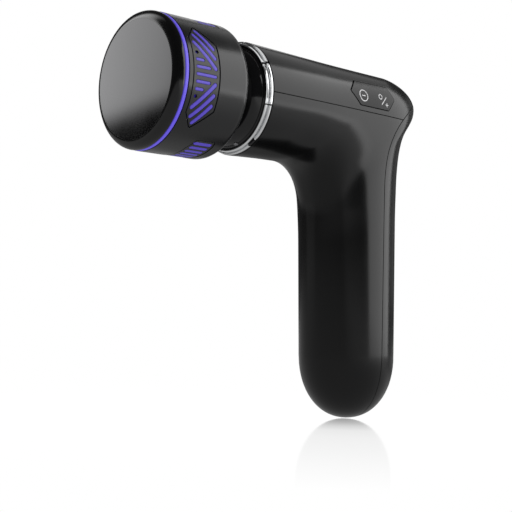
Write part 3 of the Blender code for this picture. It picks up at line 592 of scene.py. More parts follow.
def material(name, base, rough, metal=0.0, grain=(1800.0, 0.05), mottle=(60.0, 0.12),
             rough_var=0.06, coat=0.0, coat_rough=0.1, specular=0.5, emit=None, emit_strength=0.0,
             brushed=None, rings=None, cells=None, speckle=None):
    """A Principled finish with grain in the bump, cloudy colour and roughness changes.
    brushed stretches the grain along an axis, rings adds turned or wound lines,
    cells adds a printed-board pattern and speckle a scatter of lighter dots."""
    mat = bpy.data.materials.new(name)
    mat.use_nodes = True
    t = mat.node_tree
    L = t.links.new
    p = t.nodes["Principled BSDF"]
    p.inputs["Metallic"].default_value = metal
    p.inputs["Specular IOR Level"].default_value = specular
    if coat:
        p.inputs["Coat Weight"].default_value = coat
        p.inputs["Coat Roughness"].default_value = coat_rough
    co = t.nodes.new("ShaderNodeTexCoord")
    src = co.outputs["Object"]
    mapped = t.nodes.new("ShaderNodeMapping")
    L(src, mapped.inputs["Vector"])
    if brushed:
        mapped.inputs["Scale"].default_value = brushed
    fine = t.nodes.new("ShaderNodeTexNoise")
    fine.inputs["Scale"].default_value = grain[0]
    fine.inputs["Detail"].default_value = 3.0
    L(mapped.outputs["Vector"], fine.inputs["Vector"])
    cloud = t.nodes.new("ShaderNodeTexNoise")
    cloud.inputs["Scale"].default_value = mottle[0]
    cloud.inputs["Detail"].default_value = 5.0
    cloud.inputs["Roughness"].default_value = 0.6
    L(src, cloud.inputs["Vector"])
    # roughness: cloudy handling marks over the moulded or machined value
    mr = t.nodes.new("ShaderNodeMapRange")
    mr.inputs["From Min"].default_value = 0.3
    mr.inputs["From Max"].default_value = 0.7
    mr.inputs["To Min"].default_value = max(0.02, rough - rough_var)
    mr.inputs["To Max"].default_value = rough + rough_var
    L(cloud.outputs["Fac"], mr.inputs["Value"])
    L(mr.outputs["Result"], p.inputs["Roughness"])
    # colour: base with a small cloudy change
    mix = t.nodes.new("ShaderNodeMix")
    mix.data_type = 'RGBA'
    mix.inputs[6].default_value = (*[c * (1 - mottle[1]) for c in base], 1)
    mix.inputs[7].default_value = (*[min(1.0, c * (1 + mottle[1])) for c in base], 1)
    L(cloud.outputs["Fac"], mix.inputs[0])
    colour = mix.outputs[2]
    height = fine.outputs["Fac"]
    if rings:
        axis, scale, depth = rings
        wave = t.nodes.new("ShaderNodeTexWave")
        wave.wave_type = 'RINGS' if axis in 'R' else 'BANDS'
        if wave.wave_type == 'BANDS':
            wave.bands_direction = axis
        wave.inputs["Scale"].default_value = scale
        wave.inputs["Distortion"].default_value = 0.4
        L(src, wave.inputs["Vector"])
        m2 = t.nodes.new("ShaderNodeMath")
        m2.operation = 'MULTIPLY_ADD'
        L(wave.outputs["Fac"], m2.inputs[0])
        m2.inputs[1].default_value = depth
        L(height, m2.inputs[2])
        height = m2.outputs[0]
        dark = t.nodes.new("ShaderNodeMix")
        dark.data_type = 'RGBA'
        dark.blend_type = 'MULTIPLY'
        dark.inputs[0].default_value = 0.5
        L(colour, dark.inputs[6])
        L(wave.outputs["Color"], dark.inputs[7])
        colour = dark.outputs[2]
    if cells:
        scale, other = cells
        vor = t.nodes.new("ShaderNodeTexVoronoi")
        vor.distance = 'CHEBYCHEV'
        vor.inputs["Scale"].default_value = scale
        L(src, vor.inputs["Vector"])
        ramp = t.nodes.new("ShaderNodeValToRGB")
        ramp.color_ramp.elements[0].position = 0.30
        ramp.color_ramp.elements[1].position = 0.36
        L(vor.outputs["Distance"], ramp.inputs["Fac"])
        m3 = t.nodes.new("ShaderNodeMix")
        m3.data_type = 'RGBA'
        L(ramp.outputs["Color"], m3.inputs[0])
        m3.inputs[6].default_value = (*other, 1)
        L(colour, m3.inputs[7])
        colour = m3.outputs[2]
    if speckle:
        scale, other, amount = speckle
        sp = t.nodes.new("ShaderNodeTexNoise")
        sp.inputs["Scale"].default_value = scale
        sp.inputs["Detail"].default_value = 1.0
        L(src, sp.inputs["Vector"])
        ramp = t.nodes.new("ShaderNodeValToRGB")
        ramp.color_ramp.elements[0].position = 1 - amount
        ramp.color_ramp.elements[1].position = min(1.0, 1 - amount + 0.04)
        L(sp.outputs["Fac"], ramp.inputs["Fac"])
        m4 = t.nodes.new("ShaderNodeMix")
        m4.data_type = 'RGBA'
        L(ramp.outputs["Color"], m4.inputs[0])
        L(colour, m4.inputs[6])
        m4.inputs[7].default_value = (*other, 1)
        colour = m4.outputs[2]
    L(colour, p.inputs["Base Color"])
    bump = t.nodes.new("ShaderNodeBump")
    bump.inputs["Strength"].default_value = grain[1]
    bump.inputs["Distance"].default_value = 0.0002
    L(height, bump.inputs["Height"])
    L(bump.outputs["Normal"], p.inputs["Normal"])
    if emit:
        glow = t.nodes.new("ShaderNodeMix")
        glow.data_type = 'RGBA'
        glow.inputs[6].default_value = (*[c * 0.82 for c in emit], 1)
        glow.inputs[7].default_value = (*emit, 1)
        L(cloud.outputs["Fac"], glow.inputs[0])
        L(glow.outputs[2], p.inputs["Emission Color"])
        p.inputs["Emission Strength"].default_value = emit_strength
    return mat


M = {
    "shell_black": material("satin_shell", (0.0022, 0.0023, 0.0025), 0.20, grain=(2600, 0.008), mottle=(45, 0.15),
                            rough_var=0.02, specular=0.35),
    "pad_black": material("satin_pad", (0.0035, 0.0036, 0.0040), 0.27, grain=(2600, 0.03), mottle=(70, 0.15),
                          rough_var=0.02, specular=0.22),
    "gloss_black": material("gloss_shell", (0.0055, 0.0058, 0.0064), 0.22, grain=(1500, 0.03), mottle=(50, 0.15),
                            rough_var=0.03),
    "rim_black": material("plate_rim", (0.004, 0.004, 0.0045), 0.15, grain=(1500, 0.02), mottle=(50, 0.15),
                          rough_var=0.015),
    "bezel_black": material("piano_black", (0.005, 0.005, 0.006), 0.11, grain=(900, 0.015), mottle=(60, 0.2),
                            rough_var=0.03),
    "chrome": material("bright_chrome", (0.88, 0.89, 0.90), 0.10, 1.0, grain=(1400, 0.05), mottle=(400, 0.05),
                       rough_var=0.04),
    "plate_metal": material("polished_plate", (0.052, 0.052, 0.053), 0.07, 1.0, grain=(3000, 0.005), mottle=(40, 0.04),
                            rough_var=0.012),
    "light_purple": material("violet_light", (0.14, 0.095, 0.68), 0.38, grain=(900, 0.03), mottle=(220, 0.10),
                             emit=(0.055, 0.040, 0.36), emit_strength=1.0),
    "vent_violet": material("vent_light", (0.10, 0.067, 0.49), 0.40, grain=(900, 0.03), mottle=(220, 0.12),
                            emit=(0.024, 0.014, 0.19), emit_strength=1.0),
    "vent_black": material("vent_satin", (0.013, 0.0135, 0.015), 0.30, grain=(2200, 0.08), mottle=(80, 0.15)),
    "rubber_black": material("soft_rubber", (0.016, 0.016, 0.017), 0.78, grain=(1500, 0.25), mottle=(90, 0.3),
                             specular=0.3),
    "alloy": material("cast_alloy", (0.62, 0.63, 0.65), 0.36, 1.0, grain=(900, 0.20), mottle=(120, 0.10)),
    "steel": material("turned_steel", (0.52, 0.53, 0.55), 0.24, 1.0, grain=(1200, 0.06), mottle=(150, 0.08),
                      brushed=(1.0, 1.0, 9.0)),
    "bronze": material("bearing_bronze", (0.52, 0.36, 0.16), 0.36, 1.0, grain=(1500, 0.15), mottle=(200, 0.2),
                       speckle=(3000, (0.20, 0.13, 0.06), 0.36)),
    "nylon": material("natural_nylon", (0.68, 0.67, 0.62), 0.52, grain=(1200, 0.10), mottle=(90, 0.05)),
    "magnet": material("plated_magnet", (0.30, 0.30, 0.31), 0.28, 1.0, grain=(1800, 0.08), mottle=(160, 0.15)),
    "copper": material("wound_copper", (0.62, 0.27, 0.11), 0.34, 1.0, grain=(1000, 0.10), mottle=(200, 0.2),
                       rings=('Z', 420.0, 1.6)),
    "board_green": material("solder_mask", (0.012, 0.13, 0.055), 0.34, grain=(700, 0.06), mottle=(160, 0.35),
                            cells=(520.0, (0.55, 0.50, 0.30))),
    "cell_wrap": material("shrink_wrap", (0.03, 0.16, 0.36), 0.30, grain=(500, 0.08), mottle=(60, 0.15)),
    "ceramic": material("white_ceramic", (0.82, 0.81, 0.78), 0.55, grain=(1600, 0.12), mottle=(120, 0.04)),
    "print_white": material("printed_mark", (0.78, 0.78, 0.79), 0.50, grain=(2600, 0.10), mottle=(300, 0.08)),
    "port_black": material("port_tongue", (0.01, 0.01, 0.011), 0.45, grain=(1500, 0.1), mottle=(100, 0.2)),
}

SLOTS = {
    "rubber_black": ["shaft_seal", "isolator_left", "isolator_right", "stem_o_ring_1", "stem_o_ring_2"],
    "alloy": ["guide_housing", "chassis_plate", "motor_base", "connecting_rod", "heat_sink"],
    "steel": ["guide_screw_1", "guide_screw_2", "guide_screw_3", "main_bearing", "rotor_bell", "motor_shaft",
              "crank_disc", "plunger_shaft", "wrist_pin", "big_end_bearing", "crank_pin", "switch_power",
              "switch_mode"],
    "bronze": ["guide_bushing", "small_end_bush"],
    "nylon": ["battery_holder_top", "battery_holder_bottom"],
    "magnet": ["rotor_magnets"],
    "copper": ["motor_stator"],
    "board_green": ["control_board", "button_board", "head_board"],
    "cell_wrap": ["battery_cell_front", "battery_cell_rear"],
    "ceramic": ["cooling_plate"],
    "vent_black": ["fan_frame", "fan_impeller"],
}
for look, names in SLOTS.items():
    for name in names:
        ob = frame["nodes"][name]
        ob.data.materials.clear()
        ob.data.materials.append(M[look])


def place(solid, name, look, body, stands_for=()):
    ob = solid.object(name, M[look])
    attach(ob, body)
    if stands_for:
        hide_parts(*stands_for)
    return ob


# ------------------------------------------------------------------- body shells
S_BODY = np.concatenate([np.linspace(-0.02, 1, 62)[:-1], np.linspace(1, 2, 85)[:-1],
                         np.linspace(2, 3, 52)[:-1], 3 + np.sin(np.linspace(0, math.pi / 2, 30)) ** 0.9])
PHI_BODY = 2 * math.pi * np.arange(128) / 128
front_edge = lambda P: P[:, 0] - SHELL_FRONT
upper = lambda P: P[:, 2] - HALF_GAP
lower = lambda P: -P[:, 2] - HALF_GAP
ahead = lambda P: seam_side(P) - HALF_GAP
behind = lambda P: -seam_side(P) - HALF_GAP
around_pad = lambda P: np.where(P[:, 1] < 0, pad_outline(P[:, [0, 2]]), 10.0)
shell_args = dict(edge=0.15, thick=1.8, wrap=True, flip=True, hu=0.02, hv=0.01, normal_axis=(0.05, 0, -1))

ns = S_BODY < 1.98
top = patch(body_pos, S_BODY[ns], PHI_BODY, [upper, ahead, front_edge, around_pad], **shell_args)
place(top, "barrel_top_shell", "shell_black", "handle_body", ["top_cover"])
grip = patch(body_pos, S_BODY, PHI_BODY, [lower, ahead, front_edge], pole=True, **shell_args)
place(grip, "grip_front_shell", "shell_black", "handle_body", ["grip_shell"])
rear = patch(body_pos, S_BODY[S_BODY > 0.9], PHI_BODY, [behind, port_outline], pole=True, **shell_args)
place(rear, "handle_rear_shell", "shell_black", "handle_body", ["rear_cover"])

# -------------------------------------------------------------------- button pad
pad_face = patch(lambda x, z: side_pos(x, z, -PAD_LIFT), np.arange(101.0, 134.8, 0.4), np.arange(1.6, 15.6, 0.4),
                 [lambda P: -pad_outline(P[:, [0, 2]]) - PAD_GAP], edge=0.2, thick=1.8, hu=0.05, hv=0.05, steps=5)
place(pad_face, "button_pad_face", "pad_black", "button", ["button_pad"])


def stroke(pieces, half):
    """Distance inside a drawing made of strokes; each is a segment or a ring."""
    def f(P):
        q = P[:, [0, 2]]
        d = []
        for piece in pieces:
            if len(piece) == 3:
                cx, cz, r = piece
                d.append(np.abs(np.linalg.norm(q - (cx, cz), axis=1) - r))
            else:
                d.append(seg_dist(q, np.array(piece[:2], float), np.array(piece[2:], float)))
        return half - np.min(d, axis=0)
    return f


def mark(x0, x1, z0, z1, pieces, half):
    return patch(lambda x, z: side_pos(x, z, -PAD_LIFT - 0.05), np.arange(x0, x1, 0.11), np.arange(z0, z1, 0.11),
                 [stroke(pieces, half)], edge=0.05, thick=0.25, hu=0.05, hv=0.05, steps=2)


icons = mark(106.8, 114.2, 3.8, 11.2, [(110.5, 7.5, 2.68), (109.5, 7.45, 111.5, 7.45)], 0.27)
icons.join(mark(120.8, 124.6, 6.8, 10.6, [(122.65, 8.7, 1.13)], 0.24))
icons.join(mark(122.8, 127.4, 4.5, 9.4, [(126.8, 8.9, 123.3, 5.0)], 0.24))
icons.join(mark(125.6, 128.6, 3.8, 6.7, [(126.15, 5.2, 127.95, 5.2), (127.05, 4.3, 127.05, 6.1)], 0.22))
place(icons, "pad_marks", "print_white", "button")

# -------------------------------------------------------------- collar and bezel
OUTER_BAND = np.array(fillet([(51.05, 25.2), (51.0, 25.78), (50.3, 25.76), (49.86, 25.4), (49.88, 24.95), (50.35, 24.7)],
                             [0, .22, .22, .2, .14, 0], 6))
INNER_BAND = np.array(fillet([(49.75, 24.4), (49.58, 24.66), (49.1, 24.88), (48.5, 24.75), (48.15, 24.35), (48.2, 23.8),
                              (48.9, 23.55)], [0, .1, .22, .3, .3, .25, 0], 6))
GROOVE = np.array([(50.6, 24.66), (50.2, 24.58), (49.85, 24.44), (49.5, 24.3)])
NOTCHES = [(31.5 + 45.0 * k, (0.65, 0.28, 0.65, 0.28)[k % 4]) for k in range(8) if k != 6]
WINDOW = (-58.5, 2.3)             # the outer band alone is interrupted here


def band(profile, gaps):
    length = np.concatenate([[0], np.cumsum(np.linalg.norm(np.diff(profile, axis=0), axis=1))])

    def pos(u, a):
        x, r = np.interp(u, length, profile[:, 0]), np.interp(u, length, profile[:, 1])
        return np.stack([x, -r * np.cos(a), r * np.sin(a)], 1)

    def clear(P):
        a = head_angle(P)
        return np.min([np.abs(np.radians((a - c + 180) % 360 - 180)) * 25.0 - h for c, h in gaps], axis=0)
    return patch(pos, length, 2 * math.pi * np.arange(420) / 420, [clear], edge=0.10, thick=0.42, wrap=True,
                 flip=True, hu=0.02, hv=0.004, steps=3)


collar = band(OUTER_BAND, NOTCHES + [WINDOW]).join(band(INNER_BAND, NOTCHES)).join(band(GROOVE, NOTCHES + [WINDOW]))
place(collar, "collar_segments", "chrome", "handle_body", ["collar_ring"])
base = lathe(fillet([(48.7, 23.42), (48.7, 24.25), (50.42, 24.3), (50.42, 25.3), (51.15, 25.5), (51.15, 23.42)], 0.08, 3), 200)
place(base, "collar_seat", "bezel_black", "handle_body")

dome = arc(49.2, 12.4, -8.6, 10.2, 0, 80, 34)
bezel = lathe(fillet([(40.6, 11.95)], 0) + dome
              + [(47.9, 22.85), (48.5, 23.3), (51.6, 23.3), (51.6, 21.5)] + arc(49.4, 13.4, -7.0, 8.1, 90, 0, 14)
              + [(47.0, 13.4), (47.0, 11.95)], 200, sharp=50)
place(bezel, "nose_bezel_dome", "bezel_black", "handle_body", ["nose_bezel"])

# ------------------------------------------------------------------ massage head
plate = lathe([(PLATE_FRONT, 0.0), (PLATE_FRONT, PLATE_FLAT_R - 0.06), (PLATE_FRONT, PLATE_FLAT_R - 0.04),
               (PLATE_FRONT + 0.02, PLATE_FLAT_R - 0.02), (-4.0, PLATE_FLAT_R - 0.02), (-4.0, 0.0)], 220, sharp=25)
place(plate, "contact_face", "plate_metal", "head", ["contact_plate"])
rim = lathe([(-3.98, 0.0), (-3.98, PLATE_FLAT_R - 0.01)]
            + arc(PLATE_ROUND, PLATE_FLAT_R, PLATE_FRONT + 0.004 - PLATE_ROUND, HEAD_R - 0.08 - PLATE_FLAT_R, 0, 90, 22)
            + arc(PLATE_BACK - 0.2, HEAD_R - 0.28, 0.2, 0.2, 90, 0, 4) + [(PLATE_BACK, 0.0)], 220, sharp=32)
place(rim, "contact_rim", "rim_black", "head")
glow = lathe(fillet([(-RING_HALF, 27.4), (-RING_HALF, 29.9), (RING_HALF, 29.9), (RING_HALF, 27.4)],
                    [0, .25, .25, 0], 6), 220)
place(glow, "light_band", "light_purple", "head", ["light_ring"])

HOUSE = np.array([(x, 30.0) for x in np.linspace(1.0, 31.0, 76)] + arc(31.0, 22.1, 5.3, 7.9, 90, 0, 26)[1:]
                 + [(36.3, r) for r in np.linspace(22.1, 9.4, 26)[1:]])
H_LEN = np.concatenate([[0], np.cumsum(np.linalg.norm(np.diff(HOUSE, axis=0), axis=1))])


def house_pos(u, a):
    x, r = np.interp(u, H_LEN, HOUSE[:, 0]), np.interp(u, H_LEN, HOUSE[:, 1])
    return np.stack([x, -r * np.cos(a), r * np.sin(a)], 1)


side_shape, top_shape = round_poly(vent_points(SIDE_VENT), 0.7), round_poly(vent_points(TOP_VENT), 0.7)
VENTS = (("side_near", 0.0, side_shape, side_slots(), side_dots(), (2.6, 17.8), 47.0),
         ("side_far", 180.0, side_shape, side_slots(), side_dots(), (2.6, 17.8), 47.0),
         ("top", 90.0, top_shape, top_slots(), [], (14.4, 27.9), 35.5),
         ("bottom", -90.0, top_shape, top_slots(), [], (14.4, 27.9), 35.5))


def windows(P):
    d = np.min([shape(unrolled(P, deg)) for _, deg, shape, _, _, _, _ in VENTS], axis=0)
    return np.where(P[:, 0] < 30.5, d, 10.0)


housing = patch(house_pos, H_LEN, 2 * math.pi * np.arange(300) / 300,
                [lambda P: P[:, 0] - HOUSING_FRONT, lambda P: np.hypot(P[:, 1], P[:, 2]) - 9.65, windows],
                edge=0.14, thick=2.1, wrap=True, hu=0.05, hv=0.004)
place(housing, "head_shell", "gloss_black", "head", ["head_housing"])
for name, deg, shape, slots, dots, (x0, x1), span in VENTS:
    gaps, ribs = slots_dist(slots + dots, deg), slots_dist(slots, deg)
    holes = slots_dist(dots, deg, 0.6)
    outline = lambda d, shape=shape, deg=deg: lambda P: -shape(unrolled(P, deg)) - d
    a = np.radians(np.arange(deg - span, deg + span, 0.62))
    xs = np.arange(x0, x1, 0.33)
    grille = patch(on_cylinder(29.9), xs, a, [outline(0.45), gaps], edge=0.12, thick=1.1, steps=3)
    place(grille, "grille_" + name, "vent_black", "head", ["vent_grille_" + name])
    lens = patch(on_cylinder(28.4), np.arange(x0, x1, 0.8), np.radians(np.arange(deg - span, deg + span, 1.8)),
                 [outline(1.3), holes], edge=0.15, thick=1.1, steps=2)
    lens.join(patch(on_cylinder(29.9), xs, a, [lambda P, g=ribs: -g(P) - 0.05], edge=0.28, thick=1.8, steps=3))
    place(lens, "light_guide_" + name, "vent_violet", "head", ["vent_lens_" + name])

stem = lathe(fillet([(31.2, 0), (31.2, 14.0), (33.9, 14.0), (33.9, 9.3), (40.8, 9.3), (40.8, 6.5), (45.8, 6.5),
                     (45.8, 5.2), (48.0, 5.2), (48.0, 6.5), (51.8, 6.5), (51.8, 5.2), (54.0, 5.2), (54.0, 6.5),
                     (58.4, 6.5), (58.4, 0)], [0, .3, .3, .2, .3, .2, .2, .1, .1, .2, .2, .1, .1, .2, 1.0, 0], 4), 96)
place(stem, "stem_body", "bezel_black", "head", ["head_stem"])


# ------------------------------------------------------------------- charge port
def stadium_pos(hy, hz, x):
    """Closed outline of a flat-sided oval at depth x."""
    pts = []
    for side, a0 in ((1, -90), (-1, 90)):
        for k in range(13):
            a = math.radians(a0 + 180 * k / 12)
            pts.append((x, side * (hy - hz) + hz * math.cos(a), -131.5 + hz * math.sin(a)))
    return np.array(pts)


def loft(loops, caps=True):
    n = len(loops[0])
    faces, norms = [], []
    verts = np.vstack(loops)
    for k in range(len(loops) - 1):
        for j in range(n):
            i = (j + 1) % n
            faces.append([k * n + j, k * n + i, (k + 1) * n + i, (k + 1) * n + j])
    if caps:
        faces.append(list(range(n))[::-1])
        faces.append([(len(loops) - 1) * n + j for j in range(n)])
    else:
        m = (len(loops) - 1) * n
        for j in range(n):
            i = (j + 1) % n
            faces.append([m + j, m + i, i, j])
    for f in faces:
        p = verts[f]
        nn = np.zeros(3)
        for a, b in zip(p, np.roll(p, -1, 0)):
            nn += np.cross(a, b)
        norms += [nn] * len(f)
    return Solid().add(verts, faces, norms)


port = loft([stadium_pos(4.0, 1.2, 141.4), stadium_pos(4.0, 1.2, 147.15), stadium_pos(4.12, 1.32, 147.3),
             stadium_pos(4.38, 1.58, 147.3), stadium_pos(4.5, 1.7, 147.15), stadium_pos(4.5, 1.7, 139.5),
             stadium_pos(0.5, 0.25, 139.5), stadium_pos(0.5, 0.25, 141.4)], caps=False)
place(port, "charge_socket", "alloy", "handle_body", ["charge_port"])
tongue = loft([stadium_pos(3.3, 0.34, 141.3), stadium_pos(3.3, 0.34, 146.3), stadium_pos(3.1, 0.16, 146.5)])
place(tongue, "charge_tongue", "port_black", "handle_body")

# ----------------------------------------------- knurled screw head on the bezel
def star(radius, flute, height, origin, n, count=72):
    """Fluted loop round the axis n at a height above origin."""
    n = np.asarray(n, float) / np.linalg.norm(n)
    u = np.cross(n, (0.0, 1.0, 0.0))
    u /= np.linalg.norm(u)
    v = np.cross(n, u)
    t = 2 * math.pi * np.arange(count) / count
    r = radius + flute * np.cos(12 * t)
    return np.asarray(origin, float) + n * height + np.outer(r * np.cos(t), u) + np.outer(r * np.sin(t), v)


SCREW_TURN = math.radians(-75.5)
spoke = np.array([0.0, -math.cos(SCREW_TURN), math.sin(SCREW_TURN)])
screw_at, screw_axis = np.array([47.5, 0, 0]) + spoke * 22.5, np.array([-0.45, 0, 0]) + spoke
screw = loft([star(1.05, 0.09, -0.6, screw_at, screw_axis), star(1.05, 0.09, 0.22, screw_at, screw_axis),
              star(0.93, 0.05, 0.36, screw_at, screw_axis), star(0.62, 0.0, 0.36, screw_at, screw_axis),
              star(0.55, 0.0, 0.18, screw_at, screw_axis)])
place(screw, "bezel_screw", "magnet", "handle_body")

# ------------------------------------------------------------------------- stage
VIEW = Vector((0.6598, 0.7514, 0.0))          # level direction away from the camera
ACROSS = Vector((0.7514, -0.6598, 0.0))       # level direction to the camera's right
FOOT = row(np.array([120.5, 0.0, LOW]))       # where the handle stands on the floor

bpy.ops.mesh.primitive_circle_add(vertices=96, radius=6.0, fill_type='NGON', location=(0, 0, -0.0003))
floor = bpy.context.active_object
floor.name = "studio_floor"
fm = bpy.data.materials.new("pale_floor")
fm.use_nodes = True
ft = fm.node_tree
ft.nodes.clear()
FL = ft.links.new


def fnode(kind, **settings):
    n = ft.nodes.new(kind)
    for key, val in settings.items():
        setattr(n, key, val)
    return n


out = fnode("ShaderNodeOutputMaterial")
lp = fnode("ShaderNodeLightPath")
geo = fnode("ShaderNodeNewGeometry")


def ramp_along(direction, lo, hi, out_lo, out_hi):
    """Smooth change from out_lo to out_hi between two distances along a level direction."""
    dot = fnode("ShaderNodeVectorMath", operation='DOT_PRODUCT')
    FL(geo.outputs["Position"], dot.inputs[0])
    dot.inputs[1].default_value = direction
    r = fnode("ShaderNodeMapRange", interpolation_type='SMOOTHSTEP')
    r.inputs["From Min"].default_value, r.inputs["From Max"].default_value = lo, hi
    r.inputs["To Min"].default_value, r.inputs["To Max"].default_value = out_lo, out_hi
    FL(dot.outputs["Value"], r.inputs["Value"])
    return r.outputs["Result"]


# painted light and shade: to everything but the camera the floor glows brighter towards the camera's right, on the key
# lamp's side, and the painted shade below darkens that glow behind the handle
bright = fnode("ShaderNodeMath", operation='MULTIPLY')
FL(ramp_along(ACROSS, 0.02, 0.45, 0.42, 0.85), bright.inputs[0])
# the floor behind the handle lies in its own shade, less so towards the left
shade = fnode("ShaderNodeMath", operation='MULTIPLY')
FL(ramp_along(VIEW, 0.03, 0.20, 0.0, 1.0), shade.inputs[0])
FL(ramp_along(ACROSS, -0.10, 0.03, 0.1, 0.65), shade.inputs[1])
light = fnode("ShaderNodeMath", operation='SUBTRACT')
light.inputs[0].default_value = 1.0
FL(shade.outputs[0], light.inputs[1])
FL(light.outputs[0], bright.inputs[1])
strength = fnode("ShaderNodeMix", data_type='FLOAT')
FL(lp.outputs["Is Camera Ray"], strength.inputs[0])
FL(bright.outputs[0], strength.inputs[2])
strength.inputs[3].default_value = 1.0
em = fnode("ShaderNodeEmission")
FL(strength.outputs[0], em.inputs["Strength"])
gl = fnode("ShaderNodeBsdfGlossy")
gl.inputs["Roughness"].default_value = 0.065
gl.inputs["Color"].default_value = (1, 1, 1, 1)
# the polish of the floor shows only close to the foot of the handle
far = fnode("ShaderNodeVectorMath", operation='DISTANCE')
FL(geo.outputs["Position"], far.inputs[0])
far.inputs[1].default_value = tuple(FOOT)
span = fnode("ShaderNodeMapRange")
span.inputs["From Max"].default_value = 0.26
FL(far.outputs["Value"], span.inputs["Value"])
fade = fnode("ShaderNodeValToRGB")
fade.color_ramp.elements[0].position, fade.color_ramp.elements[0].color = 0.0, (0.75, 0.75, 0.75, 1)
fade.color_ramp.elements[1].position, fade.color_ramp.elements[1].color = 1.0, (0, 0, 0, 1)
for at, v in ((0.10, 0.52), (0.17, 0.34), (0.26, 0.18), (0.38, 0.13), (0.6, 0.09), (0.85, 0.035)):
    e = fade.color_ramp.elements.new(at)
    e.color = (v, v, v, 1)
FL(span.outputs["Result"], fade.inputs["Fac"])
polish = fnode("ShaderNodeMixShader")
FL(fade.outputs["Color"], polish.inputs[0])
FL(em.outputs[0], polish.inputs[1])
FL(gl.outputs[0], polish.inputs[2])
pick = fnode("ShaderNodeMixShader")
FL(lp.outputs["Is Camera Ray"], pick.inputs[0])
FL(em.outputs[0], pick.inputs[1])
FL(polish.outputs[0], pick.inputs[2])
FL(pick.outputs[0], out.inputs["Surface"])
floor.data.materials.append(fm)

world = bpy.data.worlds.new("studio")
bpy.context.scene.world = world
world.use_nodes = True
wt = world.node_tree
bg = wt.nodes["Background"]
wl = wt.nodes.new("ShaderNodeLightPath")
wm = wt.nodes.new("ShaderNodeMapRange")
wm.inputs["To Min"].default_value = 0.055
wm.inputs["To Max"].default_value = 1.0
wt.links.new(wl.outputs["Is Camera Ray"], wm.inputs["Value"])
wt.links.new(wm.outputs["Result"], bg.inputs["Strength"])
bg.inputs["Color"].default_value = (1, 1, 1, 1)

HEAD_AT, BARREL_AT = Vector(row((10, 0, 0))), Vector(row((100, -10, -20)))
PLATE_AT = Vector(row((PLATE_FRONT, 0, 0)))


def softbox(name, azimuth, elevation, distance, width, height, radiance, target, roll=0.0, only=None):
    """Area light seen from target in the given direction; azimuth is turned to the
    camera's right from the direction towards the camera, in degrees."""
    data = bpy.data.lights.new(name, 'AREA')
    data.shape = 'RECTANGLE'
    data.size, data.size_y = width, height
    data.energy = radiance * math.pi * width * height
    ob = bpy.data.objects.new(name, data)
    bpy.context.scene.collection.objects.link(ob)
    a, e = math.radians(azimuth), math.radians(elevation)
    base = math.atan2(-VIEW.y, -VIEW.x)
    d = Vector((math.cos(base + a) * math.cos(e), math.sin(base + a) * math.cos(e), math.sin(e)))
    ob.location = Vector(target) + d * distance
    ob.rotation_euler = (d.to_track_quat('Z', 'Y').to_matrix() @ Matrix.Rotation(math.radians(roll), 3, 'Z')).to_euler()
    ob.visible_camera = False
    if only:
        ob.light_linking.receiver_collection = only
    return ob


def collection(name, *members):
    c = bpy.data.collections.new(name)
    for m in members:
        c.objects.link(bpy.data.objects[m])
    return c


softbox("key_right", 91.5, 19.3, 1.0, 1.12, 1.05, 2.35, HEAD_AT)
softbox("top_back", 142, 47, 1.2, 0.9, 0.35, 0.45, BARREL_AT)
softbox("back_right", 136, 12, 1.2, 0.6, 0.6, 0.15, BARREL_AT)
softbox("back_soft", -172, 24, 1.2, 0.5, 0.7, 0.75, BARREL_AT)
softbox("left_fill", -92, 6, 1.3, 0.7, 0.8, 0.16, BARREL_AT,
        only=collection("fill_only", "barrel_top_shell", "grip_front_shell", "handle_rear_shell", "head_shell"))
plate_box = softbox("plate_left", -112, 39.5, 0.9, 1.0, 1.22, 1.0, PLATE_AT, roll=0,
                    only=collection("plate_only", "contact_face", "contact_rim"))
# the box facing the plate has a feathered lower edge and falls off to one side
pl = plate_box.data
pl.use_nodes = True
pt = pl.node_tree
pos = pt.nodes.new("ShaderNodeNewGeometry")
turn = plate_box.rotation_euler.to_matrix()


def box_coordinate(direction):
    dot = pt.nodes.new("ShaderNodeVectorMath")
    dot.operation = 'DOT_PRODUCT'
    dot.inputs[1].default_value = direction
    pt.links.new(pos.outputs["Position"], dot.inputs[0])
    less = pt.nodes.new("ShaderNodeMath")
    less.operation = 'SUBTRACT'
    pt.links.new(dot.outputs["Value"], less.inputs[0])
    less.inputs[1].default_value = plate_box.location.dot(direction)
    return less.outputs[0]


def box_ramp(source, lo, hi, out_lo, out_hi, smooth=True):
    r = pt.nodes.new("ShaderNodeMapRange")
    r.interpolation_type = 'SMOOTHSTEP' if smooth else 'LINEAR'
    r.inputs["From Min"].default_value, r.inputs["From Max"].default_value = lo, hi
    r.inputs["To Min"].default_value, r.inputs["To Max"].default_value = out_lo, out_hi
    pt.links.new(source, r.inputs["Value"])
    return r.outputs["Result"]


def box_product(one, two):
    m = pt.nodes.new("ShaderNodeMath")
    m.operation = 'MULTIPLY'
    pt.links.new(one, m.inputs[0])
    pt.links.new(two, m.inputs[1])
    return m.outputs[0]


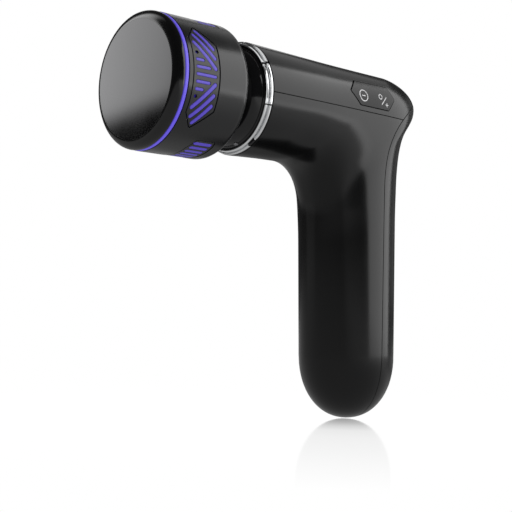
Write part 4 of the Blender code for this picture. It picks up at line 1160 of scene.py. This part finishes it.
box_x, box_y = turn.col[0].copy(), turn.col[1].copy()
level = box_ramp(box_coordinate(box_x), 0.05, 0.25, 4.8, 1.75, smooth=False)
side = box_product(box_ramp(box_coordinate(box_x), 0.185, 0.26, 1.0, 0.0),
                   box_ramp(box_coordinate(box_x), -0.10, 0.07, 0.0, 1.0))
foot = box_product(box_ramp(box_coordinate(box_y - box_x * 0.55), -0.628, -0.588, 0.0, 1.0),
                   box_ramp(box_coordinate(box_y), -0.25, 0.55, 1.0, 0.1))
pt.links.new(box_product(level, box_product(side, foot)), pt.nodes["Emission"].inputs["Strength"])
chrome_only = collection("chrome_only", "collar_segments")
softbox("chrome_front", -10, 0, 1.6, 2.6, 2.2, 0.68, HEAD_AT, only=chrome_only)
softbox("chrome_top", 0, 75, 1.6, 2.2, 1.4, 0.75, HEAD_AT, only=chrome_only)

# pale cards all round that only the floor's polish shows
floor_only = bpy.data.collections.new("floor_only")
floor_only.objects.link(floor)
for k in range(6):
    softbox("card_%d" % k, 180 + 60 * k, 24, 2.6, 3.2, 2.6, 1.0, Vector((0, 0, 0)), only=floor_only)
softbox("card_top", 0, 90, 2.6, 3.2, 3.2, 1.0, Vector((0, 0, 0)), only=floor_only)

# ------------------------------------------------------------------------ camera
YAW, PITCH, ROLL = 0.720465557, 0.0571782119, 0.0310643518
EYE = np.array([-297.298223, -414.366033, -102.425724])
fwd = np.array([math.sin(YAW) * math.cos(PITCH), math.cos(YAW) * math.cos(PITCH), math.sin(PITCH)])
right = np.array([math.cos(YAW), -math.sin(YAW), 0.0])
up = np.cross(right, fwd)
r2 = math.cos(ROLL) * right + math.sin(ROLL) * up
u2 = -math.sin(ROLL) * right + math.cos(ROLL) * up
cam = bpy.data.cameras.new("camera")
cam.lens, cam.sensor_width, cam.clip_start, cam.clip_end = 84.375, 36.0, 0.01, 50.0
cam_ob = bpy.data.objects.new("camera", cam)
bpy.context.scene.collection.objects.link(cam_ob)
m = np.eye(4)
m[:3, 0], m[:3, 1], m[:3, 2], m[:3, 3] = r2, u2, -fwd, row(EYE)
cam_ob.matrix_world = Matrix(m.tolist())
bpy.context.scene.camera = cam_ob
bpy.context.scene.view_settings.view_transform = 'Standard'
